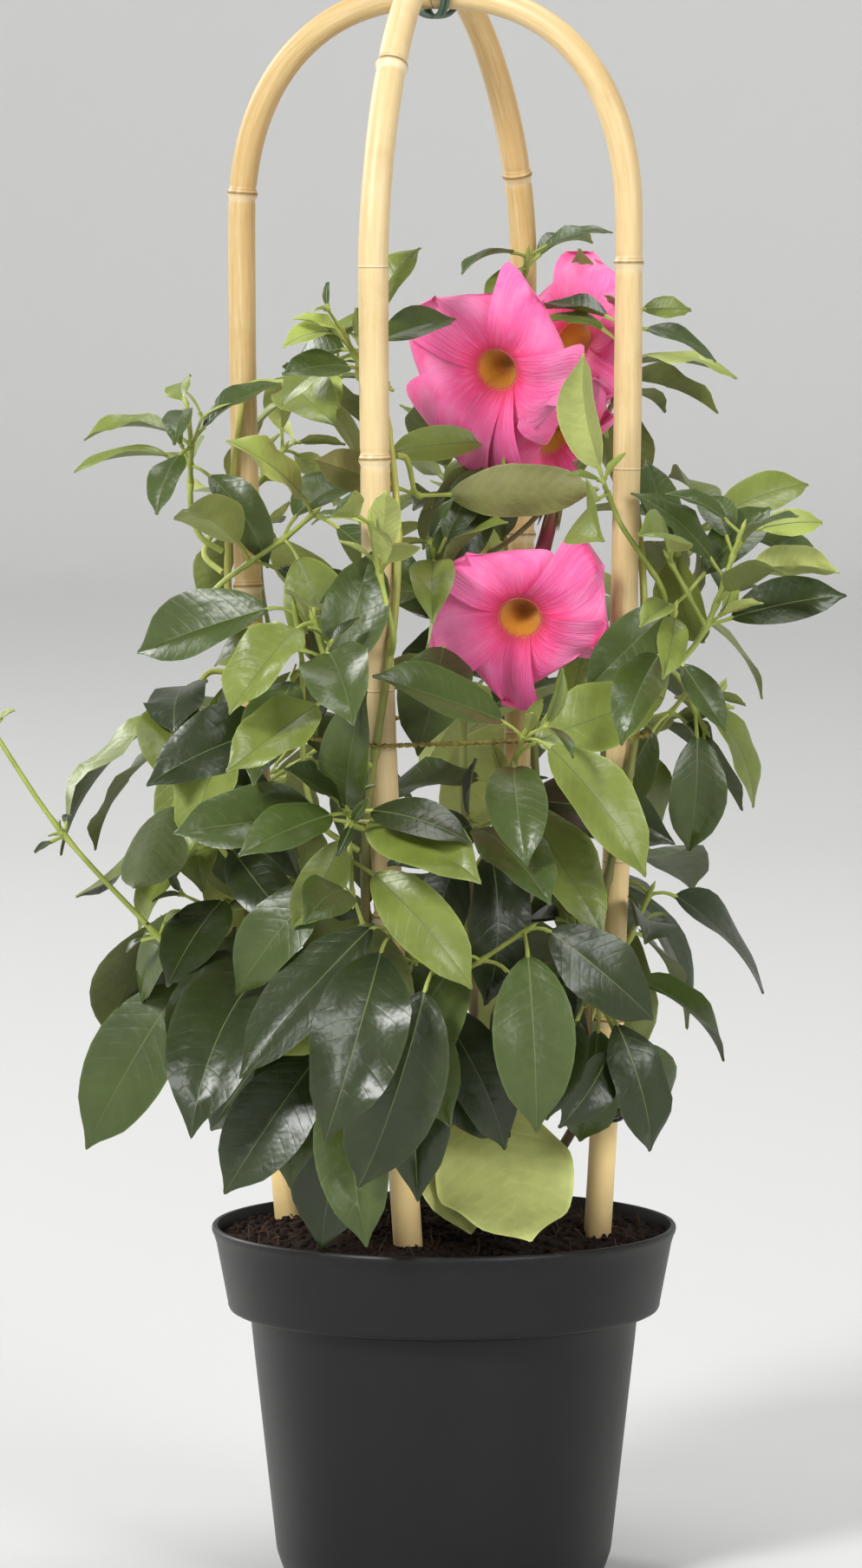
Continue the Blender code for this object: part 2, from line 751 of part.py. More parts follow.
def leaf_at(rng, point, tangent, side, mass, scale, attempt):
    """A leaf on one side of a twig; each further attempt turns it more and makes it a little smaller."""
    wild = 0.2 + 0.13 * attempt
    heading = (tangent * 0.55 + side * 0.9 + Vector([rng.gauss(0, wild) for _ in range(3)])).normalized()
    droop = mass.droop * rng.uniform(0.6, 1.3)
    forward = (heading - UP * droop).normalized()
    outward = Vector((point.x, point.y, 0)).normalized()
    aside = outward * 0.4 + LIGHT_SIDE * max(0.0, min(1.0, 0.7 - point.y / 90))
    if rng.random() < mass.turned:
        aside, level = aside * -1.2, UP * 0.45
    else:
        level = UP
    up = level + aside + Vector([rng.gauss(0, 0.2 + 0.1 * attempt) for _ in range(3)])
    face = (up - forward * up.dot(forward)).normalized()
    length = mass.leaf * scale * rng.uniform(0.88, 1.1) * (1 - 0.05 * attempt)
    width = length * mass.breadth * rng.uniform(0.86, 1.12)
    petiole = 5 + 0.11 * length
    arch, fold = rng.uniform(0.25, 0.9), rng.uniform(0.08, 0.35)
    return Leaf(point, heading, forward, face, length, width, petiole, arch, fold)


def try_leaf(rng, name, mass, point, tangent, side, scale, grown):
    """Adds a leaf to the mass if one of its attempts keeps clear of all that is placed."""
    for attempt in range(TRIES):
        leaf = leaf_at(rng, point, tangent, side, mass, scale, attempt)
        test = leaf_solid(leaf, grow=LEAF_CLEARANCE)
        if min(p.z for p in test[0]) > POT_HEIGHT - 6 and is_clear(test, exempt=f"{name}_wood"):
            place(name, leaf_solid(leaf))
            grown.append(leaf)
            return


def grow_mass(name, mass):
    """(wood tubes, leaves) of a mass: opposite pairs, each turned a right angle from the last."""
    rng = random.Random(mass.seed)
    path = mass_stem(mass)
    wood = [(path, MASS_STEM_RADIUS, TWIG_RADIUS)]
    place(f"{name}_wood", tube(path, [MASS_STEM_RADIUS] * 6, WOOD_SIDES))
    leaves = []
    first_turn = rng.uniform(0, TURN)
    twig_nodes = [1 + (k * max(1, mass.pairs - 1)) // max(1, mass.twigs) for k in range(mass.twigs)]
    for node in range(1, mass.pairs + 1):
        share = 0.3 + 0.7 * node / mass.pairs
        point, tangent = along(path, min(0.985, share))
        across = any_normal(tangent)
        turn = first_turn + node * math.pi / 2
        side = across * math.cos(turn) + tangent.cross(across) * math.sin(turn)
        scale = 1 - mass.young * (node / mass.pairs) ** 2
        if node in twig_nodes:
            leaves += grow_twig(rng, name, mass, point, tangent, side, scale, wood)
            try_leaf(rng, name, mass, point, tangent, -side, scale, leaves)
        else:
            for way in (side, -side):
                try_leaf(rng, name, mass, point, tangent, way, scale, leaves)
    return wood, leaves


def grow_twig(rng, name, mass, point, tangent, side, scale, wood):
    """A side twig with one leaf pair part way and one at its end."""
    leaves = []
    for attempt in range(TRIES):
        stray = Vector([rng.gauss(0, 0.1 + 0.1 * attempt) for _ in range(3)])
        heading = tangent * 0.6 + side * 0.8 + stray
        heading = (heading - UP * mass.droop * 0.25).normalized()
        length = mass.leaf * 0.55 * rng.uniform(0.8, 1.1)
        end = point + (heading + UP * 0.15).normalized() * length
        path = curve_between(point, heading, end, heading, 3)
        test = tube([point + heading * 4, *path[1:]], [TWIG_RADIUS + LEAF_CLEARANCE] * 3, WOOD_SIDES)
        if is_clear(test, exempt=f"{name}_wood"):
            break
    else:
        return leaves
    wood.append((path, TWIG_RADIUS, TWIG_RADIUS))
    place(f"{name}_wood", tube(path, [TWIG_RADIUS] * 3, WOOD_SIDES))
    turn = rng.uniform(0, math.pi)
    for share, turned_by in ((0.5, 0.0), (0.96, math.pi / 2)):
        at, way = along(path, share)
        across = any_normal(way)
        aside = across * math.cos(turn + turned_by) + way.cross(across) * math.sin(turn + turned_by)
        for facing in (aside, -aside):
            try_leaf(rng, name, mass, at, way, facing, scale * (0.95 if share < 0.9 else 0.85), leaves)
    return leaves


def make_masses():
    for name, mass in MASSES.items():
        wood, leaves = grow_mass(name, mass)
        solids = []
        for path, first, last in wood:
            count = len(path)
            radii = [first + (last - first) * i / (count - 1) for i in range(count)]
            solids.append(tube(path, radii, WOOD_SIDES))
        solids += [leaf_solid(leaf) for leaf in leaves]
        add_fused(name, solids, "leaf")


# The blooms: a funnel that opens into five broad petals, on its own stalk from the middle stem.


class Bloom(NamedTuple):
    centre: tuple
    faces: tuple
    radius: float
    roll: float
    leaves_stem: float
    bearing: float


BLOOMS = {
    "bloom_upper_left": Bloom((18, -23, 443), (-0.41, -0.82, -0.25), 38.0, 10.0, 330.0, -115.0),
    "bloom_upper_right": Bloom((46, 20, 454), (-0.5, -0.65, 0.3), 31.0, 40.0, 376.0, 40.0),
    "bloom_middle": Bloom((43, 2, 417), (0.62, -0.44, -0.57), 28.0, 70.0, 350.0, 78.0),
    "bloom_lower": Bloom((27, -36, 354), (-0.15, -0.92, -0.35), 35.0, 20.0, 345.0, -38.0),
}
PETALS = 5
PETAL_STEPS = 3
BLOOM_TUBE_LENGTH = 34.0
BLOOM_WALL = 0.9


def petal_reach(turn):
    """The bloom's outline: five lobes, each drawn out to one side like the blades of a pinwheel."""
    share = (turn * PETALS / TURN) % 1.0
    return 0.72 + 0.28 * math.sin(math.pi * share**1.5) ** 0.7


def bloom_solid(bloom):
    """A funnel with a wall, from the stalk's end out to the petals' margins and back inside."""
    axis = Vector(bloom.faces).normalized()
    across = any_normal(axis)
    upward = axis.cross(across)
    centre = Vector(bloom.centre)
    # Each ring: distance along the axis from the throat's rim, radius, and how much the lobes shape it.
    outside = ((-BLOOM_TUBE_LENGTH, 2.2, 0), (-19.0, 3.0, 0), (-9.0, 8.4, 0), (-2.0, 11.0, 0))
    margin = ((-1.0, bloom.radius, 1.0),)
    inside = ((2.0, 22.0, 0.4), (-1.0, 8.6, 0), (-10.0, 6.0, 0))
    sides = PETALS * PETAL_STEPS
    rings = []
    for depth, radius, lobed in outside + margin + inside:
        ring = []
        for j in range(sides):
            turn = TURN * j / sides + math.radians(bloom.roll)
            reach = radius * (1 - lobed + lobed * petal_reach(TURN * j / sides))
            outward = across * math.cos(turn) + upward * math.sin(turn)
            ring.append(centre + axis * depth + outward * reach)
        rings.append(ring)
    points = [p for ring in rings for p in ring]
    faces = skin(rings)
    last = (len(rings) - 1) * sides
    faces.append(tuple(reversed(range(sides))))
    faces.append(tuple(range(last, last + sides)))
    return points, faces


def make_blooms():
    climber = CLIMBERS["stem_middle"]
    for name, bloom in BLOOMS.items():
        axis = Vector(bloom.faces).normalized()
        base = Vector(bloom.centre) - axis * (BLOOM_TUBE_LENGTH - 3)
        stem = stem_point(climber, bloom.leaves_stem)
        bearing = math.radians(bloom.bearing)
        way = Vector((math.cos(bearing), math.sin(bearing), 0))
        start = stem + way * (stem_radius(climber, bloom.leaves_stem) + ROOT_GAP)
        path = curve_between(start, (way + UP * 0.3).normalized(), base, axis, 6, end_pull=0.16)
        stalk = tube(path, [1.0] * 6, 5)
        head = bloom_solid(bloom)
        place(name, stalk)
        place(name, head)
        add_fused(name, [head, stalk], "petal")


clear_scene()
make_pot()
make_soil()
make_canes()
make_top_tie()
make_binder()
make_climbers()
make_blooms()
make_masses()
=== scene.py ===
"""The looks of a potted mandevilla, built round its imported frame.

Sizes are in millimetres, and every mesh is written in metres with +Z up."""

import json
import math
import random
from typing import NamedTuple

import bpy
import numpy as np
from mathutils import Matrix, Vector, noise
from mathutils.bvhtree import BVHTree

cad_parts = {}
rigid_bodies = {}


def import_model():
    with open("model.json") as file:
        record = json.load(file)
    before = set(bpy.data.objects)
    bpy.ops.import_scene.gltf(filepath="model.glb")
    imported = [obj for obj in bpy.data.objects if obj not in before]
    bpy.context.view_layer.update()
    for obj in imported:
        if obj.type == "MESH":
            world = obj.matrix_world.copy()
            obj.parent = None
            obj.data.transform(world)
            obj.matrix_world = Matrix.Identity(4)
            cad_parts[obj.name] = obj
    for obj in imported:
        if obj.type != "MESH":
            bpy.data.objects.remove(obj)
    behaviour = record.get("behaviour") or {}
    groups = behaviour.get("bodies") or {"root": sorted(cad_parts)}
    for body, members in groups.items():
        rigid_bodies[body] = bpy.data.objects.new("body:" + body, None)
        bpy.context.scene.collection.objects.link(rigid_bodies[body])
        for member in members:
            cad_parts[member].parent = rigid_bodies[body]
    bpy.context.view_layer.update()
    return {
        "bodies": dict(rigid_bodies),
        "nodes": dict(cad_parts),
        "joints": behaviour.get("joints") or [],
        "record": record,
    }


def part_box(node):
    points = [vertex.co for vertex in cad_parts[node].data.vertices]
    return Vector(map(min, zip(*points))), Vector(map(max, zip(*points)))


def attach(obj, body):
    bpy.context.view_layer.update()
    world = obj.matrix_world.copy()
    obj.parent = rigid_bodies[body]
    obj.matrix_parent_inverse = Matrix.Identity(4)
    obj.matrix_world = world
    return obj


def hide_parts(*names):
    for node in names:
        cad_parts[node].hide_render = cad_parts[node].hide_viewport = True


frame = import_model()


# The camera.
# It stands 2.5 m off, as high as the upper blooms, and looks a little down, so that the pot's rim shows as a
# narrow ellipse. The picture's edges cut off the hoops' tops and the pot's foot.

CAMERA_PLACE = (-0.00475, -2.5, 0.499)
CAMERA_PITCH = 4.73
CAMERA_LENS = 157.7
SENSOR_HEIGHT = 36.0


def add_object(name, data):
    """An object in the scene, with that data."""
    made = bpy.data.objects.new(name, data)
    bpy.context.scene.collection.objects.link(made)
    return made


camera_data = bpy.data.cameras.new("camera")
camera_data.sensor_fit = "VERTICAL"
camera_data.sensor_height = SENSOR_HEIGHT
camera_data.lens = CAMERA_LENS
camera = add_object("camera", camera_data)
camera.location = CAMERA_PLACE
camera.rotation_euler = (math.radians(90 - CAMERA_PITCH), 0, 0)
bpy.context.scene.camera = camera


# The pot.
# A thin black nursery pot, injection moulded in polypropylene, with a tall band under its rim. It is satin,
# with the faint grain of the mould, and a little compost has dried along the top of the band.

MM = 0.001
UP = Vector((0, 0, 1))
TURN = 2 * math.pi
# The pot is a 17 cm size, and its band is the tall part under the rim.
POT_RIM_RADIUS = 85.2
POT_HEIGHT = 130.5
POT_WALL = 1.4
POT_FOOT_RADIUS = 58.0
POT_FOOT_CHAMFER = 12.0
POT_FOOT_WALL_RADIUS = 61.8
POT_NECK_RADIUS = 71.2
BAND_FOOT = 98.5
BAND_FOOT_RADIUS = 79.3
POT_SIDES = 28
POT_FINE_SIDES = 144
POT_BLACK = (0.0055, 0.0055, 0.006)
POT_DUST = (0.05, 0.032, 0.02)
DUST_REACH = 12.0


class Shape:
    """The points and faces of a piece, with a finish number for each face and a place for each point."""

    def __init__(self, solid=None):
        self.points, self.faces, self.finishes, self.places = [], [], [], []
        self.readings = {}
        if solid:
            self.add(solid)

    def add(self, solid, finish=0, places=None, **readings):
        """Adds a solid, with one finish or a list of them, and with readings for its points."""
        points, faces = solid
        start = len(self.points)
        self.points += points
        self.faces += [tuple(start + i for i in face) for face in faces]
        self.finishes += finish if isinstance(finish, list) else [finish] * len(faces)
        self.places += places or [(0.5, 0.5)] * len(points)
        for label, values in readings.items():
            self.readings.setdefault(label, []).extend(values)

    def make(self, name, finishes, smooth_angle=50.0):
        """An object of that name; its places become a UV map and its readings become attributes."""
        mesh = bpy.data.meshes.new(name)
        mesh.from_pydata([p * MM for p in self.points], [], self.faces)
        for finish in finishes:
            mesh.materials.append(finish.material)
        mesh.polygons.foreach_set("material_index", self.finishes)
        corners = np.empty(len(mesh.loops), dtype=np.int32)
        mesh.loops.foreach_get("vertex_index", corners)
        surface = mesh.uv_layers.new(name="surface")
        surface.data.foreach_set("uv", np.array(self.places, dtype=np.float32)[corners].ravel())
        for label, values in self.readings.items():
            numbers = np.array(values, dtype=np.float32)
            kind, field = ("FLOAT_VECTOR", "vector") if numbers.ndim == 2 else ("FLOAT", "value")
            mesh.attributes.new(label, kind, "POINT").data.foreach_set(field, numbers.ravel())
        mesh.shade_smooth()
        mesh.set_sharp_from_angle(angle=math.radians(smooth_angle))
        return add_object(name, mesh)


def add_node(tree, kind, inputs, settings):
    """A node of that kind; each input is set to a value or linked to what another node gives."""
    node = tree.nodes.new(kind)
    for label, value in settings.items():
        setattr(node, label, value)
    for key, value in (inputs or {}).items():
        socket = value.socket if isinstance(value, Amount) else value
        if isinstance(socket, bpy.types.NodeSocket):
            tree.links.new(socket, node.inputs[key])
        else:
            node.inputs[key].default_value = socket
    return node


class Amount:
    """What a node of a finish gives. A sum with it is one more node."""

    def __init__(self, finish, socket):
        self.finish, self.socket = finish, socket

    def __add__(self, other):
        return self.finish.calc("ADD", self, other)

    def __sub__(self, other):
        return self.finish.calc("SUBTRACT", self, other)

    def __rsub__(self, other):
        return self.finish.calc("SUBTRACT", other, self)

    def __mul__(self, other):
        return self.finish.calc("MULTIPLY", self, other)

    def __pow__(self, other):
        return self.finish.calc("POWER", self, other)

    def __abs__(self):
        return self.finish.calc("ABSOLUTE", self)

    def line(self, times, plus, clamp=False):
        """The amount times one number plus another."""
        return self.finish.calc("MULTIPLY_ADD", self, times, plus, clamp=clamp)

    def share(self, times, plus):
        """The same, kept between 0 and 1."""
        return self.line(times, plus, clamp=True)

    def fade(self, start, end, clamp=True):
        """A share that grows from 0 at the start to 1 at the end."""
        return self.line(1 / (end - start), -start / (end - start), clamp)

    def part(self, axis):
        """The X, Y or Z of a place."""
        return self.finish.read(axis, "SeparateXYZ", {0: self})


class Finish:
    """A finish: a material with its shader, and short ways to add nodes to it."""

    def __init__(self, name, colour, roughness, **sockets):
        self.material = bpy.data.materials.new(name)
        self.material.use_nodes = True
        self.tree = self.material.node_tree
        self.shader = self.tree.nodes["Principled BSDF"]
        self.shader.inputs["Base Color"].default_value = (*colour, 1)
        self.shader.inputs["Roughness"].default_value = roughness
        for label, value in sockets.items():
            self.shader.inputs[label.replace("_", " ")].default_value = value

    def read(self, output, kind, inputs=None, **settings):
        """What a new node gives at that output."""
        return Amount(self, add_node(self.tree, f"ShaderNode{kind}", inputs, settings).outputs[output])

    def place(self):
        """The place on the object, in metres."""
        return self.read("Object", "TexCoord")

    def surface(self):
        """The place on the surface, from the piece's UV map."""
        return self.read("UV", "TexCoord")

    def reading(self, label, kind="Fac"):
        """One of the piece's readings."""
        return self.read(kind, "Attribute", attribute_name=label)

    def speckle(self, at, scale, detail=3.0, stretch=(1, 1, 1)):
        """Noise from 0 to 1 at a place; stretch multiplies the place's parts first."""
        moved = self.read("Vector", "Mapping", {"Vector": at, "Scale": stretch})
        inputs = {"Vector": moved, "Scale": scale, "Detail": detail, "Roughness": 0.6}
        return self.read("Fac", "TexNoise", inputs)

    def calc(self, operation, *values, clamp=False):
        """What a math node gives for these amounts or numbers."""
        return self.read(0, "Math", dict(enumerate(values)), operation=operation, use_clamp=clamp)

    def ramp(self, share, *stops):
        """Colours along a share, each stop a position and a colour."""
        node = add_node(self.tree, "ShaderNodeValToRGB", {"Fac": share}, {})
        elements = node.color_ramp.elements
        for i, (position, colour) in enumerate(stops):
            element = elements[i] if i < 2 else elements.new(position)
            element.position = position
            element.color = (*colour, 1)
        return Amount(self, node.outputs["Color"])

    def blend(self, share, first, second):
        """Two colours mixed by a share; each is plain or what a node gives."""
        first, second = ((*c, 1) if isinstance(c, tuple) else c for c in (first, second))
        return self.read(2, "Mix", {0: share, 6: first, 7: second}, data_type="RGBA")

    def link(self, amount, label):
        self.tree.links.new(amount.socket, self.shader.inputs[label])

    def paint(self, colour):
        self.link(colour, "Base Color")

    def dull(self, roughness):
        self.link(roughness, "Roughness")

    def relief(self, height, depth, strength=1.0):
        """Bumps of that depth in millimetres."""
        inputs = {"Height": height, "Distance": depth * MM, "Strength": strength}
        self.link(self.read("Normal", "Bump", inputs), "Normal")


# What has been placed so far, so that later pieces keep clear of it: (owner, centre, reach, tree).
placed = []


def reach_of(solid):
    """The middle, the reach and the search tree of a solid."""
    points, faces = solid
    low = Vector(min(p[i] for p in points) for i in range(3))
    high = Vector(max(p[i] for p in points) for i in range(3))
    return (low + high) / 2, (high - low).length / 2, BVHTree.FromPolygons(points, faces)


def place(owner, solid):
    """Adds a solid to what has been placed."""
    placed.append((owner, *reach_of(solid)))


def is_clear(solid, exempt=None):
    """Whether the solid crosses nothing that is placed, apart from pieces of the exempt owner."""
    centre, reach, tree = reach_of(solid)
    for owner, other_centre, other_reach, other in placed:
        near = (centre - other_centre).length <= reach + other_reach
        if near and owner != exempt and tree.overlap(other):
            return False
    return True


def skin(rings):
    """The points of rings of equal length, and the faces that join each ring to the next."""
    sides = len(rings[0])
    faces = []
    for low in range(0, (len(rings) - 1) * sides, sides):
        for j in range(sides):
            k = (j + 1) % sides
            faces.append((low + j, low + k, low + sides + k, low + sides + j))
    return [p for ring in rings for p in ring], faces


def circle(radius, height, sides):
    """Points round the pot's axis."""
    angles = [TURN * j / sides for j in range(sides)]
    return [Vector((radius * math.cos(a), radius * math.sin(a), height)) for a in angles]


def turned(profile, sides):
    """A solid of revolution; the profile runs from the axis at the foot out and back to the axis."""
    first, *middle, last = profile
    points, faces = skin([circle(radius, height, sides) for radius, height in middle])
    points = [Vector((0, 0, first[1])), *points, Vector((0, 0, last[1]))]
    faces = [tuple(i + 1 for i in face) for face in faces]
    final = len(points) - 1
    top = final - sides
    for j in range(sides):
        k = (j + 1) % sides
        faces += [(0, 1 + k, 1 + j), (final, top + j, top + k)]
    return points, faces


POT_OUTSIDE = (
    (POT_FOOT_RADIUS, 0.0),
    (POT_FOOT_WALL_RADIUS, POT_FOOT_CHAMFER),
    (POT_NECK_RADIUS, BAND_FOOT),
    (BAND_FOOT_RADIUS - 1.5, BAND_FOOT + 0.8),
    (BAND_FOOT_RADIUS, BAND_FOOT + 3.5),
    (POT_RIM_RADIUS - 0.7, POT_HEIGHT - 2.2),
    (POT_RIM_RADIUS, POT_HEIGHT - 0.9),
    (POT_RIM_RADIUS - 0.6, POT_HEIGHT),
)
POT_INSIDE = (
    (POT_RIM_RADIUS - POT_WALL - 0.5, POT_HEIGHT - 0.2),
    (POT_RIM_RADIUS - POT_WALL - 1.0, POT_HEIGHT - 3.0),
    (BAND_FOOT_RADIUS - POT_WALL, BAND_FOOT + 3.6),
    (POT_NECK_RADIUS - POT_WALL, BAND_FOOT + 1.4),
    (POT_FOOT_WALL_RADIUS - POT_WALL, POT_FOOT_CHAMFER + 0.4),
    (POT_FOOT_RADIUS - POT_WALL + 0.3, POT_WALL),
)

place("pot", turned([(0, 0), *POT_OUTSIDE, *POT_INSIDE, (0, POT_WALL)], POT_SIDES))


def off(radius, height, *steps):
    """Profile points, each so far out and up from one corner."""
    return [(radius + out, height + up) for out, up in steps]


def straight(start, end, steps=8):
    """The profile points between two others, on a straight line."""
    (radius, height), (end_radius, end_height) = start, end
    spans = (end_radius - radius, end_height - height)
    return [(radius + spans[0] * i / steps, height + spans[1] * i / steps) for i in range(1, steps)]


# Foot, wall, neck, band, rim and inside, with rounded corners.
pot_profile = [
    *off(0, 0, (0, 1.1), (45.0, 1.1), (47.5, 0.2), (49.0, 0)),
    *off(POT_FOOT_RADIUS, 0, (-0.8, 0), (0, 0.5), (1.9, 5.0)),
    *off(POT_FOOT_WALL_RADIUS, POT_FOOT_CHAMFER, (-0.4, -2.5), (0, 0)),
    *straight((POT_FOOT_WALL_RADIUS, POT_FOOT_CHAMFER), (POT_NECK_RADIUS, BAND_FOOT - 1)),
    *off(POT_NECK_RADIUS, BAND_FOOT, (-0.1, -1.2), (0.3, -0.2), (1.2, 0.1)),
    *off(BAND_FOOT_RADIUS, BAND_FOOT, (-1.7, 0.7), (-0.6, 1.3), (-0.05, 2.4), (0.15, 4.0)),
    *straight((BAND_FOOT_RADIUS + 0.15, BAND_FOOT + 4.0), (POT_RIM_RADIUS - 1.1, POT_HEIGHT - 3.4)),
    *off(POT_RIM_RADIUS, POT_HEIGHT, (-0.75, -3.4), (-0.2, -2.4), (0, -1.6), (-0.05, -0.7)),
    *off(POT_RIM_RADIUS, POT_HEIGHT, (-0.5, -0.1), (-1.1, 0), (-1.7, -0.3)),
    *POT_INSIDE,
    (0, POT_WALL),
]

pot_finish = Finish("pot_plastic", POT_BLACK, 0.4, Specular_IOR_Level=0.32)
at = pot_finish.place()
mould_grain = pot_finish.speckle(at, 1500.0, detail=2.0)
wipes = pot_finish.speckle(at, 26.0, detail=4.0, stretch=(1, 1, 0.25))
pot_finish.dull(wipes.line(0.16, 0.34))
near_rim = at.part("Z").fade((POT_HEIGHT - DUST_REACH) * MM, POT_HEIGHT * MM)
crust = pot_finish.speckle(at, 160.0, detail=5.0).share(6.0, -3.5)
film = pot_finish.calc("ADD", crust * near_rim * 0.45, wipes * 0.03, clamp=True)
pot_finish.paint(pot_finish.blend(film, POT_BLACK, POT_DUST))
pot_finish.relief(mould_grain, 0.05, 0.35)

pot = Shape(turned(pot_profile, POT_FINE_SIDES)).make("pot_shell", [pot_finish], 40.0)
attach(pot, "root")
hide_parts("pot")


# The compost.
# Dark peaty compost with bark fines, pressed in by hand and heaped a little over the rim in the middle.
# Crumbs and fibres lie loose on it, and it stays inside the pot.

# How far apart pieces stay that don't touch.
GAP = 0.35
SOIL_EDGE = 126.5
SOIL_TOP = 135.0
SOIL_EDGE_RADIUS = POT_RIM_RADIUS - POT_WALL - 1.2 - GAP
SOIL_WALL = [(0, POT_WALL + GAP), *((r - GAP, z + GAP) for r, z in reversed(POT_INSIDE[2:]))]
SOIL_RINGS = 44
# The bed lies a little under the soil's plain surface. Lumps and grit have a closeness and a height.
BED_SINK = 0.8
LUMPS = (0.12, 1.5)
GRIT = (0.6, 0.8)
LEVEL_EDGE = 4
SOIL_DARK = (0.010, 0.0055, 0.004)
SOIL_BROWN = (0.038, 0.017, 0.009)
FIBRE_BROWN = (0.11, 0.06, 0.03)
CRUMB_SEED = 11
CRUMB_RADIUS = 1.0
CRUMB_LUMP = 1.6
FIBRE_SEED = 23
FIBRE_RADIUS = 0.22
STREWN_RINGS = 12
STREWN_SIDES = 48
STREWN_EDGE = 3.0
STREWN_SINK = 0.5


def soil_height(x, y):
    """The soil's surface: a low dome that meets the wall at its edge."""
    share = min(1.0, math.hypot(x, y) / POT_RIM_RADIUS)
    return SOIL_TOP - (SOIL_TOP - SOIL_EDGE) * share**1.6


coarse_top = [(r, soil_height(r, 0)) for r in (SOIL_EDGE_RADIUS, 56.0, 26.0)]
place("soil", turned([*SOIL_WALL, *coarse_top, (0, SOIL_TOP)], POT_SIDES))

fine_top = [(SOIL_EDGE_RADIUS * (1 - i / SOIL_RINGS), 0) for i in range(SOIL_RINGS)]
soil_points, soil_faces = turned([*SOIL_WALL, *fine_top, (0, 0)], POT_FINE_SIDES)
for i, point in enumerate(soil_points):
    if point.z == 0:
        level = min(1.0, (SOIL_EDGE_RADIUS - math.hypot(point.x, point.y)) / LEVEL_EDGE)
        lumps = noise.fractal(point * LUMPS[0], 0.8, 2.0, 5) * LUMPS[1]
        lumps += noise.noise(point * GRIT[0]) * GRIT[1]
        height = soil_height(point.x, point.y) - BED_SINK + lumps * level
        soil_points[i] = Vector((point.x, point.y, height))

soil_finish = Finish("compost", SOIL_DARK, 0.92, Specular_IOR_Level=0.2)
at = soil_finish.place()
patches = soil_finish.speckle(at, 130.0, detail=4.0)
soil_finish.paint(soil_finish.ramp(patches, (0.4, SOIL_DARK), (0.7, SOIL_BROWN)))
soil_finish.relief(soil_finish.speckle(at, 900.0, detail=4.0), 1.2)
fibre_finish = Finish("bark_fibre", FIBRE_BROWN, 0.85, Specular_IOR_Level=0.2)
shreds = fibre_finish.speckle(fibre_finish.place(), 90.0, detail=1.0)
fibre_finish.paint(fibre_finish.ramp(shreds, (0.35, SOIL_BROWN), (0.65, FIBRE_BROWN)))

soil = Shape((soil_points, soil_faces)).make("compost_bed", [soil_finish], 60.0)


class Recipe:
    """A Geometry Nodes tree with named inputs, applied to an object and turned into a plain mesh."""

    def __init__(self, name, **sizes):
        self.tree = bpy.data.node_groups.new(name, "GeometryNodeTree")
        self.inputs = {}
        self.add_socket("Geometry", "INPUT", "Geometry")
        self.add_socket("Geometry", "OUTPUT", "Geometry")
        for label, value in sizes.items():
            socket = self.add_socket(label, "INPUT", "Int" if isinstance(value, int) else "Float")
            socket.default_value = value
            self.inputs[label] = socket.identifier
        self.start = self.tree.nodes.new("NodeGroupInput")

    def add_socket(self, label, way, kind):
        return self.tree.interface.new_socket(label, in_out=way, socket_type=f"NodeSocket{kind}")

    def given(self, label):
        """One of the tree's own inputs."""
        return self.start.outputs[label]

    def out(self, kind, inputs=None, output=0, **settings):
        """What a new node gives; it is a geometry node unless its kind says another."""
        kind = kind if "Node" in kind else f"GeometryNode{kind}"
        return add_node(self.tree, kind, inputs, settings).outputs[output]

    def close(self, geometry):
        """Ends the tree with real instances and the node that sets the finish."""
        real = self.out("RealizeInstances", {"Geometry": geometry})
        smooth = self.out("SetShadeSmooth", {"Geometry": real})
        self.coat = add_node(self.tree, "GeometryNodeSetMaterial", {"Geometry": smooth}, {})
        end = self.tree.nodes.new("NodeGroupOutput")
        self.tree.links.new(self.coat.outputs[0], end.inputs["Geometry"])

    def make(self, name, carrier, finish, **sizes):
        """The plain mesh that the tree makes from the carrier, which stays as it was."""
        self.coat.inputs["Material"].default_value = finish.material
        modifier = carrier.modifiers.new(name, "NODES")
        modifier.node_group = self.tree
        for label, value in sizes.items():
            modifier[self.inputs[label]] = value
        bpy.context.view_layer.update()
        graph = bpy.context.evaluated_depsgraph_get()
        mesh = bpy.data.meshes.new_from_object(carrier.evaluated_get(graph), depsgraph=graph)
        carrier.modifiers.remove(modifier)
        return add_object(name, mesh)


def scattered(recipe, shape, salt):
    """Copies of a shape strewn over the carrier's faces, each turned and sized at random."""
    given, out = recipe.given, recipe.out
    strewn = {"Mesh": given("Geometry"), "Density": given("Density"), "Seed": given("Seed")}
    spots = out("DistributePointsOnFaces", strewn)
    sizing = {2: given("Smallest"), 3: given("Largest"), "Seed": salt}
    sizes = out("FunctionNodeRandomValue", sizing, 1, data_type="FLOAT")
    turning = {0: (0, 0, 0), 1: (TURN, TURN, TURN), "Seed": salt + 1}
    turns = out("FunctionNodeRandomValue", turning, data_type="FLOAT_VECTOR")
    return out("InstanceOnPoints", {"Points": spots, "Instance": shape, "Rotation": turns, "Scale": sizes})


